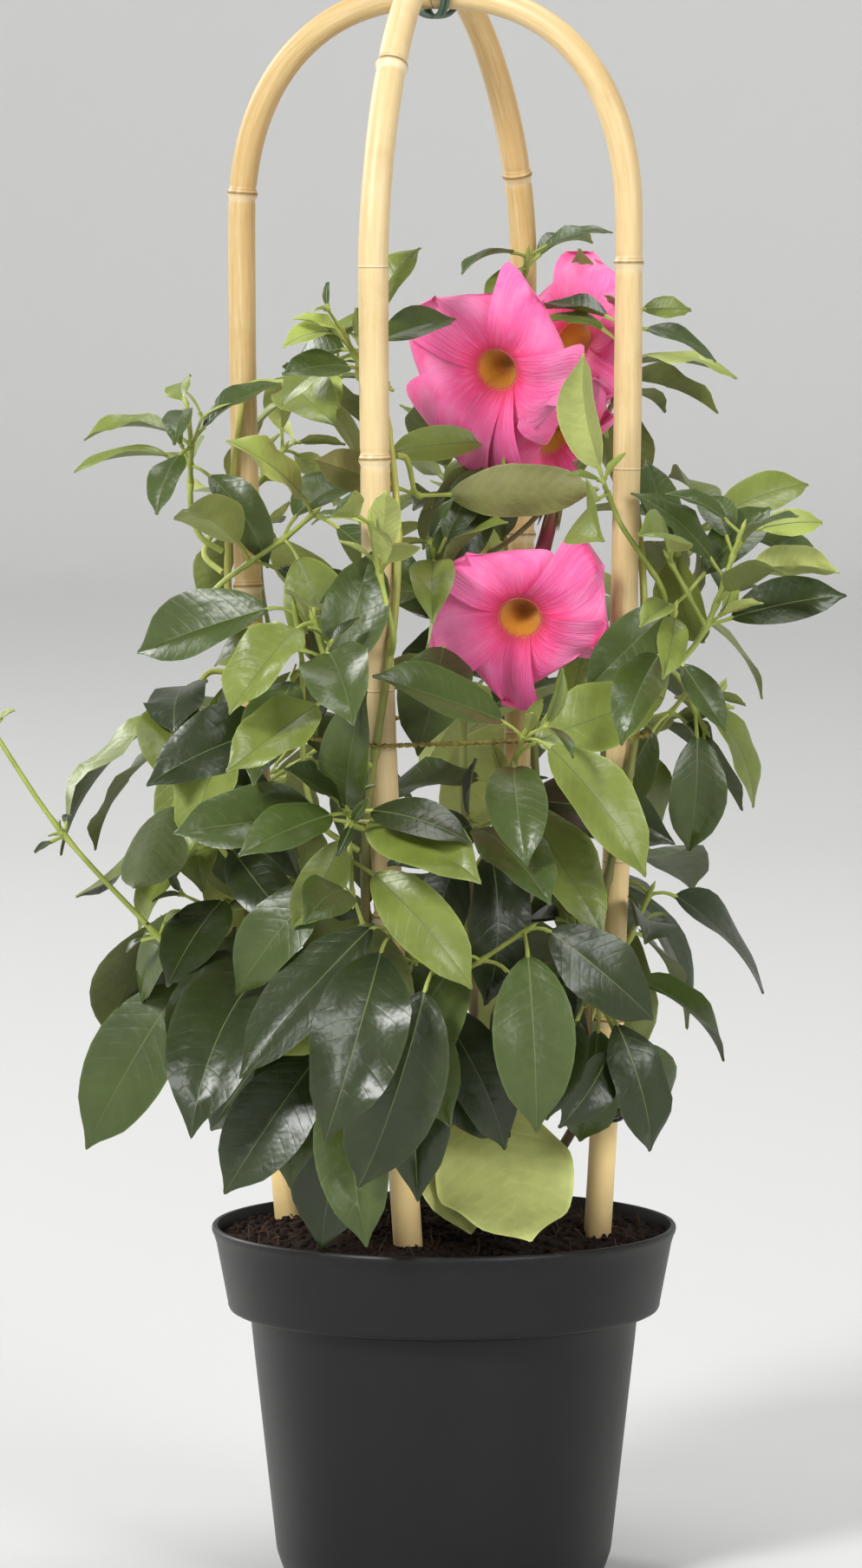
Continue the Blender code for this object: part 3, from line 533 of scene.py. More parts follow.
crumbs_recipe = Recipe("strewn_crumbs", Density=60000.0, Smallest=0.5, Largest=1.6, Seed=CRUMB_SEED)
ball = crumbs_recipe.out("MeshIcoSphere", {"Radius": CRUMB_RADIUS * MM, "Subdivisions": 1})
real = crumbs_recipe.out("RealizeInstances", {"Geometry": scattered(crumbs_recipe, ball, 3)})
where = crumbs_recipe.out("InputPosition")
rough = crumbs_recipe.out("ShaderNodeTexNoise", {"Vector": where, "Scale": 700.0}, "Color")
centred = crumbs_recipe.out("ShaderNodeVectorMath", {0: rough, 1: (0.5, 0.5, 0.5)}, operation="SUBTRACT")
most = (CRUMB_LUMP * MM, CRUMB_LUMP * MM, CRUMB_LUMP * MM)
nudge = crumbs_recipe.out("ShaderNodeVectorMath", {0: centred, 1: most}, operation="MULTIPLY")
crumbs_recipe.close(crumbs_recipe.out("SetPosition", {"Geometry": real, "Offset": nudge}))

fibres_recipe = Recipe("strewn_fibres", Density=14000.0, Smallest=0.5, Largest=1.5, Seed=FIBRE_SEED)
ends = {"Start": (-3.5 * MM, 0, 0), "Middle": (0, 1.6 * MM, 0.5 * MM), "End": (3.5 * MM, -0.6 * MM, 0)}
bend = fibres_recipe.out("CurveQuadraticBezier", {"Resolution": 4, **ends})
rod = fibres_recipe.out("CurvePrimitiveCircle", {"Resolution": 3, "Radius": FIBRE_RADIUS * MM})
shred = fibres_recipe.out("CurveToMesh", {"Curve": bend, "Profile Curve": rod, "Fill Caps": True})
fibres_recipe.close(scattered(fibres_recipe, shred, 5))

# The crumbs and fibres lie on a carrier a little smaller than the bed, so that none comes through the pot.
strewing_rings = []
for i in range(STREWN_RINGS):
    radius = (SOIL_EDGE_RADIUS - STREWN_EDGE) * (1 - i / STREWN_RINGS)
    ring = []
    for j in range(STREWN_SIDES):
        x, y = radius * math.cos(TURN * j / STREWN_SIDES), radius * math.sin(TURN * j / STREWN_SIDES)
        ring.append(Vector((x, y, soil_height(x, y) - STREWN_SINK)))
    strewing_rings.append(ring)
strewing = Shape(skin(strewing_rings)).make("strewing", [soil_finish])
crumbs = crumbs_recipe.make("compost_crumbs", strewing, soil_finish)
fibres = fibres_recipe.make("compost_fibres", strewing, fibre_finish)
bpy.data.objects.remove(strewing)
for piece in (soil, crumbs, fibres):
    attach(piece, "root")
    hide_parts("soil")


# The bamboo hoops.
# Two whole thin bamboo canes, steamed and bent into hoops, pushed into the compost and crossed at the
# top. Each has a raised ring at every node, with a dark line and a band of pale wax, and streaks along it.

# Each leg spreads from its foot to its shoulder, where the bend begins.
CANE_FOOT_DEPTH = 22.0
CANE_SIDES = 8
LEG_RINGS = 6
BEND_RINGS = 7
CANE_NODE_SWELL = 0.55
CANE_NODE_HALF = 3.0
FINE_CANE_SIDES = 24
FINE_LEG_RINGS = 60
FINE_BEND_RINGS = 30
# Near a node the fine rings stand closer: these steps of it, and none of the plain ones within the reach.
NODE_STEPS = [0.7 * step for step in range(-7, 8)]
NODE_REACH = 5.5
# A node's raised ring: how high and how wide. The groove on each side: how deep, how far off and how wide.
NODE_RING = (0.62, 1.3)
NODE_GROOVE = (0.22, 2.6, 0.9)
# Between its nodes a cane is a little slimmer than its solid, and wavers along its length.
CANE_SLIMMER = 0.12
CANE_WAVER = 0.22
CANE_WAVERS_PER_MM = 0.02
# Readings of the distance to a node stop this far off.
RING_READING = 12.0
# How far apart the canes stand in the grain's pattern, how wide they are in it, and how it is drawn out.
GRAIN_APART = 40
GRAIN_RADIUS = 5
GRAIN_LENGTH = 0.05
CANE_STRAW = (0.57, 0.395, 0.16)
CANE_PALE = (0.69, 0.54, 0.295)
CANE_TAN = (0.5, 0.3, 0.095)
# The much lighter colour painted on the canes' low parts, which the foliage shades: painted light.
CANE_LOW_PAINTED_LIGHT = (0.98, 0.72, 0.31)
CANE_STAIN = (0.38, 0.21, 0.075)
# How much painted light each cane takes, from 0 to 1: the front halves of the hoops are painted lighter and
# the back halves darker, as painted shade.
CANE_PAINTED_LIGHT = {
    "cane_front_left": 1.0,
    "cane_front_right": 0.65,
    "cane_back_left": 0.1,
    "cane_back_right": 0.0,
}
CANE_NODE_DARK = (0.16, 0.085, 0.03)
CANE_WAX = (0.84, 0.76, 0.55)
# How far up a cane the painted light on its low part and the compost's dirt reach, in millimetres: from all
# to none of it.
LOW_PAINTED_LIGHT = (300, 200)
DIRT = (SOIL_TOP + 22, SOIL_TOP - 8)
NONE = (0.0, 0.0, 0.0)
FAINT = (0.5, 0.5, 0.5)
WHITE = (1.0, 1.0, 1.0)


class Cane(NamedTuple):
    """Half a hoop: a leg, and its half of the bend."""

    foot: tuple
    shoulder: tuple
    shoulder_height: float
    radius: float
    node_heights: tuple


class Hoop(NamedTuple):
    """Two canes that meet at the top of the bend."""

    apex: tuple
    apex_height: float
    squareness: float
    canes: dict


HOOPS = (
    Hoop(
        apex=(-3.2, 0.0),
        apex_height=578.5,
        squareness=2.3,
        canes={
            "cane_back_left": Cane((-55.5, 21.0), (-74.2, 26.9), 495.0, 5.1, (205.0, 363.0, 507.0)),
            "cane_front_right": Cane((54.6, -21.0), (66.3, -26.9), 495.0, 5.1, (208.0, 330.0, 482.0)),
        },
    ),
    Hoop(
        apex=(-3.2, 0.0),
        apex_height=589.4,
        squareness=1.7,
        canes={
            "cane_front_left": Cane((-11.5, -50.0), (-25.1, -70.1), 484.0, 5.4, (250.0, 413.0, 552.0)),
            "cane_back_right": Cane((21.0, 50.0), (29.7, 70.1), 484.0, 5.1, (230.0, 380.0, 514.0)),
        },
    ),
)


def cane_foot_height(cane):
    return soil_height(*cane.foot) - CANE_FOOT_DEPTH


def leg_point(cane, height):
    """The leg's centre at a height: it curves out from the foot and stands upright at the shoulder."""
    low = cane_foot_height(cane)
    share = (cane.shoulder_height - height) / (cane.shoulder_height - low)
    x = cane.shoulder[0] + (cane.foot[0] - cane.shoulder[0]) * share**2
    y = cane.shoulder[1] + (cane.foot[1] - cane.shoulder[1]) * share**2
    return Vector((x, y, height))


def bend_point(hoop, name, share):
    """The bend's centre, from the shoulder at 0 to the hoop's top at 1."""
    sides = [Vector(c.shoulder) for c in hoop.canes.values()]
    middle = (sides[0] + sides[1]) / 2
    cane = hoop.canes[name]
    angle = share * math.pi / 2
    rise = math.sin(angle) ** (2 / hoop.squareness)
    span = math.cos(angle) ** (2 / hoop.squareness)
    flat = middle + (Vector(hoop.apex) - middle) * rise**2 + (Vector(cane.shoulder) - middle) * span
    height = cane.shoulder_height + (hoop.apex_height - cane.shoulder_height) * rise
    return Vector((flat.x, flat.y, height))


def closer_at(values, node, reach, steps):
    """The values, with those within reach of the node replaced by steps from it."""
    return [value for value in values if abs(value - node) > reach] + [node + step for step in steps]


def cane_path(hoop, name):
    """The cane's centre line from its foot to just short of the hoop's top."""
    cane = hoop.canes[name]
    low = cane_foot_height(cane)
    heights = [low + (cane.shoulder_height - low) * i / LEG_RINGS for i in range(LEG_RINGS)]
    for node in cane.node_heights:
        if node < cane.shoulder_height - CANE_NODE_HALF:
            steps = (-CANE_NODE_HALF, 0, CANE_NODE_HALF)
            heights = closer_at(heights, node, 2.5 * CANE_NODE_HALF, steps)
    path = [leg_point(cane, h) for h in sorted(heights)]
    path += [bend_point(hoop, name, i / BEND_RINGS) for i in range(BEND_RINGS)]
    last = bend_point(hoop, name, 1.0)
    path.append(last + (path[-1] - last).normalized() * GAP / 2)
    return path


def cane_radius(cane, height):
    near = min(abs(height - node) for node in cane.node_heights)
    return cane.radius + (CANE_NODE_SWELL if near < CANE_NODE_HALF / 2 else 0.0)


def any_normal(direction):
    """A unit vector square to the direction."""
    return direction.cross(UP if abs(direction.z) < 0.9 else Vector((1, 0, 0))).normalized()


def path_frames(path):
    """(tangent, normal, binormal) at each point, turned as little as the path allows."""
    frames = []
    normal = None
    for i in range(len(path)):
        tangent = (path[min(i + 1, len(path) - 1)] - path[max(i - 1, 0)]).normalized()
        if normal is None:
            normal = any_normal(tangent)
        normal = (normal - tangent * normal.dot(tangent)).normalized()
        frames.append((tangent, normal, tangent.cross(normal)))
    return frames


def ring_round(centre, normal, binormal, radius, sides):
    """Points round a line's point, in the plane of its two normals."""
    angles = [TURN * j / sides for j in range(sides)]
    return [centre + (normal * math.cos(a) + binormal * math.sin(a)) * radius for a in angles]


def capped(rings):
    """A solid of rings with a flat face at each end."""
    points, faces = skin(rings)
    sides = len(rings[0])
    last = len(points) - sides
    return points, [*faces, tuple(reversed(range(sides))), tuple(range(last, last + sides))]


def tube(path, radii, sides, beyond=()):
    """A closed tube round the path, flat at both ends; beyond says where the path would go on to."""
    steps = zip(path, radii, path_frames([*path, *beyond]))
    return capped([ring_round(centre, *frame[1:], radius, sides) for centre, radius, frame in steps])


def fine_cane_path(hoop, name):
    """The centre line again, with close rings at the nodes and round the bend."""
    cane = hoop.canes[name]
    low = cane_foot_height(cane)
    heights = [low + (cane.shoulder_height - low) * i / FINE_LEG_RINGS for i in range(FINE_LEG_RINGS)]
    shares = [i / FINE_BEND_RINGS for i in range(FINE_BEND_RINGS)]
    for node in cane.node_heights:
        if node < cane.shoulder_height - 6:
            heights = closer_at(heights, node, NODE_REACH, NODE_STEPS)
        if node > cane.shoulder_height:
            rise = (node - cane.shoulder_height) / (hoop.apex_height - cane.shoulder_height)
            share = math.asin(rise ** (hoop.squareness / 2)) * 2 / math.pi
            slope = (bend_point(hoop, name, share + 0.01) - bend_point(hoop, name, share)).length / 0.01
            shares = closer_at(shares, share, NODE_REACH / slope, [step / slope for step in NODE_STEPS])
    path = [leg_point(cane, h) for h in sorted(heights)]
    path += [bend_point(hoop, name, s) for s in sorted(shares)]
    path.append(cane_path(hoop, name)[-1])
    return path


def bump(distance, width):
    """A smooth bump of height 1 at a distance of 0."""
    return math.exp(-((distance / width) ** 2))


def node_relief(distance):
    """How far the skin stands out near a node: a raised ring between two shallow grooves."""
    depth, off, width = NODE_GROOVE
    return NODE_RING[0] * bump(distance, NODE_RING[1]) - depth * bump(abs(distance) - off, width)


cane_finish = Finish("bamboo", CANE_STRAW, 0.42, Specular_IOR_Level=0.5)
grain = cane_finish.reading("grain", "Vector")
streaks = cane_finish.speckle(grain, 1.1, detail=4.0)
clouds = cane_finish.speckle(grain, 0.16, detail=3.0)
at = cane_finish.place()
stains = cane_finish.speckle(at, 34.0, detail=5.0)
height = at.part("Z")
bleach = cane_finish.reading("bleach")
straw = cane_finish.ramp(streaks, (0.22, CANE_TAN), (0.4, CANE_STRAW), (0.74, CANE_PALE))
# Painted light and shade: a cane that takes more painted light has fewer tan clouds and more of the pale
# colour.
toned = cane_finish.blend(clouds.share(2.6, bleach.line(-0.7, -0.95)), straw, CANE_TAN)
toned = cane_finish.blend(bleach * 0.55, toned, CANE_PALE)
spotted = cane_finish.blend(stains.share(4.0, -2.25) * 0.45, toned, CANE_STAIN)
# Painted light: the canes' low parts, in the foliage's shade, are painted much lighter.
low_painted_light = height.fade(LOW_PAINTED_LIGHT[0] * MM, LOW_PAINTED_LIGHT[1] * MM)
low_lit = cane_finish.blend(low_painted_light * 0.85, spotted, CANE_LOW_PAINTED_LIGHT)
ring_place = cane_finish.reading("ring").fade(-RING_READING, RING_READING)
wax = cane_finish.ramp(ring_place, (0.36, NONE), (0.42, WHITE), (0.46, WHITE), (0.49, NONE))
dark_line = ((0.485, NONE), (0.505, WHITE), (0.52, WHITE), (0.54, NONE))
faint_line = ((0.555, NONE), (0.57, FAINT), (0.585, NONE))
line = cane_finish.ramp(ring_place, *dark_line, *faint_line)
waxed = cane_finish.blend(wax * 0.4, low_lit, CANE_WAX)
lined = cane_finish.blend(line * 0.85, waxed, CANE_NODE_DARK)
dirt = height.fade(DIRT[0] * MM, DIRT[1] * MM) * stains * 0.9
cane_finish.paint(cane_finish.blend(dirt, lined, SOIL_BROWN))
cane_finish.dull(streaks.line(0.25, 0.3))
cane_finish.relief(streaks, 0.08, 0.4)

for number, (hoop, name) in enumerate((h, n) for h in HOOPS for n in h.canes):
    cane = hoop.canes[name]
    coarse = cane_path(hoop, name)
    other = next(n for n in hoop.canes if n != name)
    beyond = cane_path(hoop, other)[-2]
    beyond.z = coarse[-2].z
    place(name, tube(coarse, [cane_radius(cane, p.z) for p in coarse], CANE_SIDES, [beyond]))
    path = fine_cane_path(hoop, name)
    beyond = fine_cane_path(hoop, other)[-2]
    beyond.z = path[-2].z
    run, radii, places, grains, rings = 0.0, [], [], [], []
    for i, point in enumerate(path):
        run += (point - path[i - 1]).length if i else 0.0
        distance = min((point.z - node for node in cane.node_heights), key=abs)
        waver = noise.noise(Vector((run * CANE_WAVERS_PER_MM, number * 7.0, 0.0))) * CANE_WAVER
        radii.append(cane.radius - CANE_SLIMMER + waver + node_relief(distance))
        for j in range(FINE_CANE_SIDES):
            angle = TURN * j / FINE_CANE_SIDES
            places.append((j / FINE_CANE_SIDES, run / 500))
            x, y = GRAIN_RADIUS * math.cos(angle), GRAIN_RADIUS * math.sin(angle)
            grains.append((x + GRAIN_APART * number, y, run * GRAIN_LENGTH))
            rings.append(max(-RING_READING, min(RING_READING, distance)))
    shape = Shape()
    bleaches = [CANE_PAINTED_LIGHT[name]] * len(places)
    cane_tube = tube(path, radii, FINE_CANE_SIDES, [beyond])
    shape.add(cane_tube, 0, places, grain=grains, ring=rings, bleach=bleaches)
    piece = shape.make(f"{name}_bamboo", [cane_finish], 50.0)
    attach(piece, "root")
    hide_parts(name)


# The tie at the top, the twine and the twist tie.
# Soft wire in a grey-green coat is lashed both ways round the crossing. Two-ply raffia twine runs round the
# four canes, and a short twist of dark wire holds the front stem to its cane.

TIE_WIRE_RADIUS = 0.9
TIE_HALF_WIDTH = 9.8
TIE_HALF_HEIGHT = 13.2
TIE_SQUARENESS = 2.6
BINDER_HEIGHT = 312.0
BINDER_RADIUS = 0.9
BINDER_REACH = 10.6
WIRE_GREEN = (0.07, 0.12, 0.085)
TWINE_OLIVE = (0.34, 0.28, 0.075)
TWINE_DARK = (0.15, 0.11, 0.03)
TWIST_DARK = (0.02, 0.022, 0.02)
TWIST_HEIGHT = 173.0
TWIST_STEPS = 28
TWINE_STEP = 1.5


def loop_tube(path, radius, sides):
    """A tube along a closed loop."""
    count = len(path)
    centre = sum(path, Vector()) / count
    axis = (path[0] - centre).cross(path[count // 4] - centre).normalized()
    rings = []
    for i, point in enumerate(path):
        tangent = (path[(i + 1) % count] - path[i - 1]).normalized()
        rings.append(ring_round(point, axis.cross(tangent).normalized(), axis, radius, sides))
    points, faces = skin([*rings, rings[0]])
    total = count * sides
    return points[:total], [tuple(i % total for i in face) for face in faces]


cord_recipe = Recipe("laid_cord", Strand=0.5, Spread=0.4, Turns=0.0, Sides=8)
run = cord_recipe.out("SplineParameter", output="Length")
inputs = {0: run, 1: cord_recipe.given("Turns")}
turned_by = cord_recipe.out("ShaderNodeMath", inputs, operation="MULTIPLY")
tilted = cord_recipe.out("SetCurveTilt", {"Curve": cord_recipe.given("Geometry"), "Tilt": turned_by})
section = {"Resolution": cord_recipe.given("Sides"), "Radius": cord_recipe.given("Strand")}
strand = cord_recipe.out("CurvePrimitiveCircle", section)
both = add_node(cord_recipe.tree, "GeometryNodeJoinGeometry", {}, {})
for way in (1.0, -1.0):
    inputs = {0: cord_recipe.given("Spread"), 1: way}
    aside = cord_recipe.out("ShaderNodeMath", inputs, operation="MULTIPLY")
    offset = cord_recipe.out("ShaderNodeCombineXYZ", {"X": aside})
    moved = cord_recipe.out("Transform", {"Geometry": strand, "Translation": offset})
    cord_recipe.tree.links.new(moved, both.inputs[0])
ends = {"Curve": tilted, "Profile Curve": both.outputs[0], "Fill Caps": True}
cord_recipe.close(cord_recipe.out("CurveToMesh", ends))


def make_cord(name, paths, closed, finish, strand, spread, sides, turns=0.0):
    """A piece of two strands along each path, laid round each other by the turns, in radians a metre."""
    line = bpy.data.curves.new(name, "CURVE")
    line.dimensions = "3D"
    line.twist_mode = "MINIMUM"
    for path in paths:
        spline = line.splines.new("POLY")
        spline.points.add(len(path) - 1)
        for point, where in zip(spline.points, path):
            point.co = (*(where * MM), 1)
        spline.use_cyclic_u = closed
    carrier = add_object(f"{name}_line", line)
    sizes = {"Strand": strand * MM, "Spread": spread * MM, "Sides": sides, "Turns": turns}
    piece = cord_recipe.make(name, carrier, finish, **sizes)
    bpy.data.objects.remove(carrier)
    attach(piece, "root")
    return piece


wire_finish = Finish("coated_wire", WIRE_GREEN, 0.42)
twine_finish = Finish("raffia_twine", TWINE_OLIVE, 0.8, Specular_IOR_Level=0.25)
strands = twine_finish.speckle(twine_finish.place(), 420.0)
twine_finish.paint(twine_finish.ramp(strands, (0.35, TWINE_DARK), (0.6, TWINE_OLIVE)))
twine_finish.relief(strands, 0.2, 0.8)
twist_finish = Finish("twist_wire", TWIST_DARK, 0.45)


def tie_loop(way, count):
    """One turn of the lashing across the crossing."""
    canes = [list(hoop.canes.values()) for hoop in HOOPS]
    runs = [(Vector(b.shoulder) - Vector(a.shoulder)).normalized() for a, b in canes]
    middle = Vector((*HOOPS[0].apex, (HOOPS[0].apex_height + HOOPS[1].apex_height) / 2))
    flat = (runs[0] + runs[1] * way).normalized()
    across = Vector((flat.x, flat.y, 0))
    path = []
    for i in range(count):
        angle = TURN * (i + 0.5) / count
        c, s = math.cos(angle), math.sin(angle)
        x = math.copysign(abs(c) ** (2 / TIE_SQUARENESS), c) * TIE_HALF_WIDTH
        z = math.copysign(abs(s) ** (2 / TIE_SQUARENESS), s) * TIE_HALF_HEIGHT
        path.append(middle + across * x + UP * z)
    return path


for way in (1, -1):
    place("top_tie", loop_tube(tie_loop(way, 12), TIE_WIRE_RADIUS, 4))
tie_turns = [tie_loop(way, 48) for way in (1, -1)]
top_tie = make_cord("top_tie_wire", tie_turns, True, wire_finish, strand=0.85, spread=0.87, sides=10)
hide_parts("top_tie")


def level(angle):
    """A level way at that angle from the right."""
    return Vector((math.cos(angle), math.sin(angle), 0))


def binder_path(steps):
    """The twine's line round the four canes, with a number of steps at each cane."""
    centres = [leg_point(c, BINDER_HEIGHT) for hoop in HOOPS for c in hoop.canes.values()]
    centres.sort(key=lambda p: math.atan2(p.y, p.x))
    path = []
    for i, centre in enumerate(centres):
        before, after = centres[i - 1], centres[(i + 1) % len(centres)]
        start = math.atan2(centre.y - before.y, centre.x - before.x) - math.pi / 2
        end = math.atan2(after.y - centre.y, after.x - centre.x) - math.pi / 2
        turn = (end - start) % TURN
        for step in range(steps):
            angle = start + turn * step / (steps - 1)
            path.append(centre + level(angle) * BINDER_REACH)
    return path


place("binder", loop_tube(binder_path(4), BINDER_RADIUS, 4))
fine_binder = []
corners = binder_path(10)
for i, point in enumerate(corners):
    after = corners[(i + 1) % len(corners)]
    count = max(1, int((after - point).length / TWINE_STEP))
    fine_binder += [point.lerp(after, step / count) for step in range(count)]
binder = make_cord("raffia_band", [fine_binder], True, twine_finish, 0.62, 0.45, sides=7, turns=1100.0)
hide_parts("binder")


def find_cane(name):
    """The cane of that name, from either hoop."""
    return next(hoop.canes[name] for hoop in HOOPS if name in hoop.canes)


twist_cane = find_cane("cane_front_right")
twist_centre = leg_point(twist_cane, TWIST_HEIGHT)
twist_turns = []
for lap in range(2):
    ring = []
    for step in range(TWIST_STEPS):
        angle = TURN * step / TWIST_STEPS
        reach = twist_cane.radius + 1.0
        lift = 1.6 * lap - 0.8 + 0.5 * math.sin(angle)
        ring.append(twist_centre + Vector((math.cos(angle) * reach, math.sin(angle) * reach, lift)))
    twist_turns.append(ring)
twist_band = make_cord("twist_tie_band", twist_turns, True, twist_finish, 0.45, 0.4, sides=8)
ear_foot = twist_centre + Vector((1.5, -twist_cane.radius - 1.2, 0))
ears = [ear_foot + Vector((0.9 * t, -0.4 * t + 0.02 * t * t, 0.8 * t)) for t in range(8)]
twist_ears = make_cord("twist_tie_ears", [ears], False, twist_finish, 0.45, 0.45, sides=8, turns=1400.0)


# The climbing stems.
# Four smooth green stems twine up the canes and one stands free between them. They are woody and brown near
# the compost, and thicken into a joint wherever a pair of leaves once stood.

STEM_RINGS = 18
FINE_STEM_RINGS = 120
FINE_STEM_SIDES = 10
STEM_FOOT_RADIUS = 2.1
STEM_TIP_RADIUS = 1.3
MIDDLE_STEM_TOP = (16.0, 6.0)
MIDDLE_STEM_SWAY = 5.0
STEM_JOINTS_APART = 38.0
# The radius between joints as a share, what a joint adds to it, and how wide the joint is.
STEM_JOINT = (0.94, 0.32, 1.8)
STEM_GREEN = (0.16, 0.19, 0.04)
STEM_OLIVE = (0.17, 0.13, 0.04)
STEM_LIME = (0.42, 0.41, 0.09)
STEM_BARK = (0.12, 0.075, 0.035)
# Between which heights, in millimetres, a stem loses its bark, and turns from green to lime.
BARK_ENDS = (310, 150)
LIME_STARTS = (280, 400)


class Climber(NamedTuple):
    """A main stem: it rises from its foot, and winds up its cane if it has one."""

    foot: tuple
    cane: str
    joins_cane: float
    top: float
    # How high it climbs in one turn, and the side, in degrees, on which it joins the cane.
    winding: float
    first_bearing: float


CLIMBERS = {
    "stem_front_left": Climber((-13.0, -24.0), "cane_front_left", 185.0, 428.0, 260.0, 80.0),
    "stem_back_left": Climber((-33.0, 12.0), "cane_back_left", 190.0, 432.0, 290.0, 330.0),
    "stem_back_right": Climber((14.0, 26.0), "cane_back_right", 190.0, 470.0, 270.0, 250.0),
    "stem_front_right": Climber((31.0, -10.0), "cane_front_right", 185.0, 440.0, 280.0, 150.0),
    "stem_middle": Climber((2.0, 1.0), "", 0.0, 385.0, 0.0, 0.0),
}


def smooth_step(share):
    """The share from 0 to 1, eased at both ends."""
    share = max(0.0, min(1.0, share))
    return share * share * (3 - 2 * share)


def winding_bearing(climber, height):
    """Which side of its cane the stem is on."""
    return math.radians(climber.first_bearing) + TURN * (height - climber.joins_cane) / climber.winding


def stem_radius(climber, height):
    low = soil_height(*climber.foot)
    return STEM_FOOT_RADIUS + (STEM_TIP_RADIUS - STEM_FOOT_RADIUS) * (height - low) / (climber.top - low)


def stem_point(climber, height):
    """The stem's centre at a height."""
    low = soil_height(*climber.foot)
    foot = Vector((*climber.foot, 0))
    if not climber.cane:
        share = (height - low) / (climber.top - low)
        sway = MIDDLE_STEM_SWAY * math.sin(TURN * share)
        flat = foot.lerp(Vector((*MIDDLE_STEM_TOP, 0)), share)
        return Vector((flat.x + sway, flat.y - sway, height))
    cane = find_cane(climber.cane)
    bearing = winding_bearing(climber, height)
    hold = cane.radius + CANE_NODE_SWELL + stem_radius(climber, height) + GAP
    beside = leg_point(cane, height) + level(bearing) * hold
    foot.z = height
    return foot.lerp(beside, smooth_step((height - low) / (climber.joins_cane - low)))


def stem_path(climber, rings=STEM_RINGS):
    low = soil_height(*climber.foot) + GAP + 0.2
    return [stem_point(climber, low + (climber.top - low) * i / (rings - 1)) for i in range(rings)]


stem_finish = Finish("climbing_stem", STEM_GREEN, 0.5)
at = stem_finish.place()
height = at.part("Z")
blotches = stem_finish.speckle(at, 60.0, detail=4.0)
ridges = stem_finish.speckle(at, 600.0, stretch=(1, 1, 0.2))
age = height.fade(BARK_ENDS[0] * MM, BARK_ENDS[1] * MM, clamp=False)
aged = stem_finish.calc("ADD", age, blotches.line(0.8, -0.4), clamp=True)
woody = stem_finish.ramp(aged, (0.0, STEM_GREEN), (0.45, STEM_OLIVE), (1.0, STEM_BARK))
young = height.fade(LIME_STARTS[0] * MM, LIME_STARTS[1] * MM)
stem_finish.paint(stem_finish.blend(young, woody, STEM_LIME))
stem_finish.relief(ridges, 0.25, 0.7)

for name, climber in CLIMBERS.items():
    coarse = stem_path(climber)
    place(name, tube(coarse, [stem_radius(climber, p.z) for p in coarse], 4))
    path = stem_path(climber, FINE_STEM_RINGS)
    radii = []
    for point in path:
        off = (point.z + 11 * len(name)) % STEM_JOINTS_APART - STEM_JOINTS_APART / 2
        plain, thicker, width = STEM_JOINT
        radii.append(stem_radius(climber, point.z) * (plain + thicker * bump(off, width)))
    piece = Shape(tube(path, radii, FINE_STEM_SIDES)).make(f"{name}_bark", [stem_finish], 60.0)
    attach(piece, "root")
    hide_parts(name)


# The blooms.
# Each is one soft funnel that opens from a dark red tube into five broad petals, which lie over one another
# like the blades of a pinwheel. The throat is orange brown with a crimson ring, and the margins are paler.

ROOT_GAP = 0.7
# How strongly a curve's end directions pull, as a share of its span, and a stalk's at its bloom.
CURVE_PULL = 0.38
STALK_PULL = 0.16
PETALS = 5
PETAL_STEPS = 3
BLOOM_TUBE_LENGTH = 34.0
# Where a stalk meets the back of its bloom's tube.
STALK_END = BLOOM_TUBE_LENGTH - 3
PETAL_ROWS = 16
PETAL_COLUMNS = 14
PETAL_THICKNESS = 0.5
PETAL_FOOT_RADIUS = 7.3
PETAL_READING = 39.0
FUNNEL_SIDES = 40
STALK_RINGS = 26
STALK_SIDES = 9
STALK_RADIUS = 1.0
# How much a stalk swells at its bloom, from which ring and over how many.
STALK_SWELL = (0.4, 19, 6)
# The funnel's wall, outside from the stalk to the rim and inside back down: (radius, depth).
FUNNEL_OUTSIDE = (
    *((0, -34), (2.2, -34), (2.5, -30.5), (2.7, -27), (2.9, -23.5), (3.3, -20)),
    *((4.1, -17.5), (5.0, -15.0), (6.6, -12.0), (7.8, -7.0), (8.0, -3.2)),
)
FUNNEL_INSIDE = ((7.4, -2.7), (6.9, -4.2), (6.1, -6.2), (4.9, -8.2), (3.3, -9.8), (1.6, -10.8), (0, -11.2))
# How far behind the throat a tube can bend and where it ends, and the one tube that hangs from above.
TUBE_BEND_DEPTH = 12.0
TUBE_END_DEPTH = 36.0
TUBE_HANGS_FROM = {"bloom_lower": (Vector((41, -15, 404)), Vector((0.1, 0.1, 1)))}
SEPAL_SIDES = 5
# Each sepal from its foot to its tip: how deep it lies, how far out, and its radius.
SEPAL = ((-35.5, 1.6, 0.5), (-33.0, 2.9, 0.85), (-30.0, 3.5, 0.6), (-27.5, 4.2, 0.08))
THROAT_DEEP = (0.34, 0.12, 0.015)
THROAT_ORANGE = (0.64, 0.27, 0.03)
THROAT_RUST = (0.52, 0.17, 0.02)
THROAT_CRIMSON = (0.66, 0.04, 0.1)
PETAL_PINK = (0.9, 0.065, 0.245)
PETAL_BRIGHT = (0.9, 0.125, 0.365)
PETAL_PALE = (0.93, 0.33, 0.58)
# A lilac tint that stands in for the petals' velvet sheen: painted sheen.
PETAL_PAINTED_SHEEN = (0.88, 0.24, 0.48)
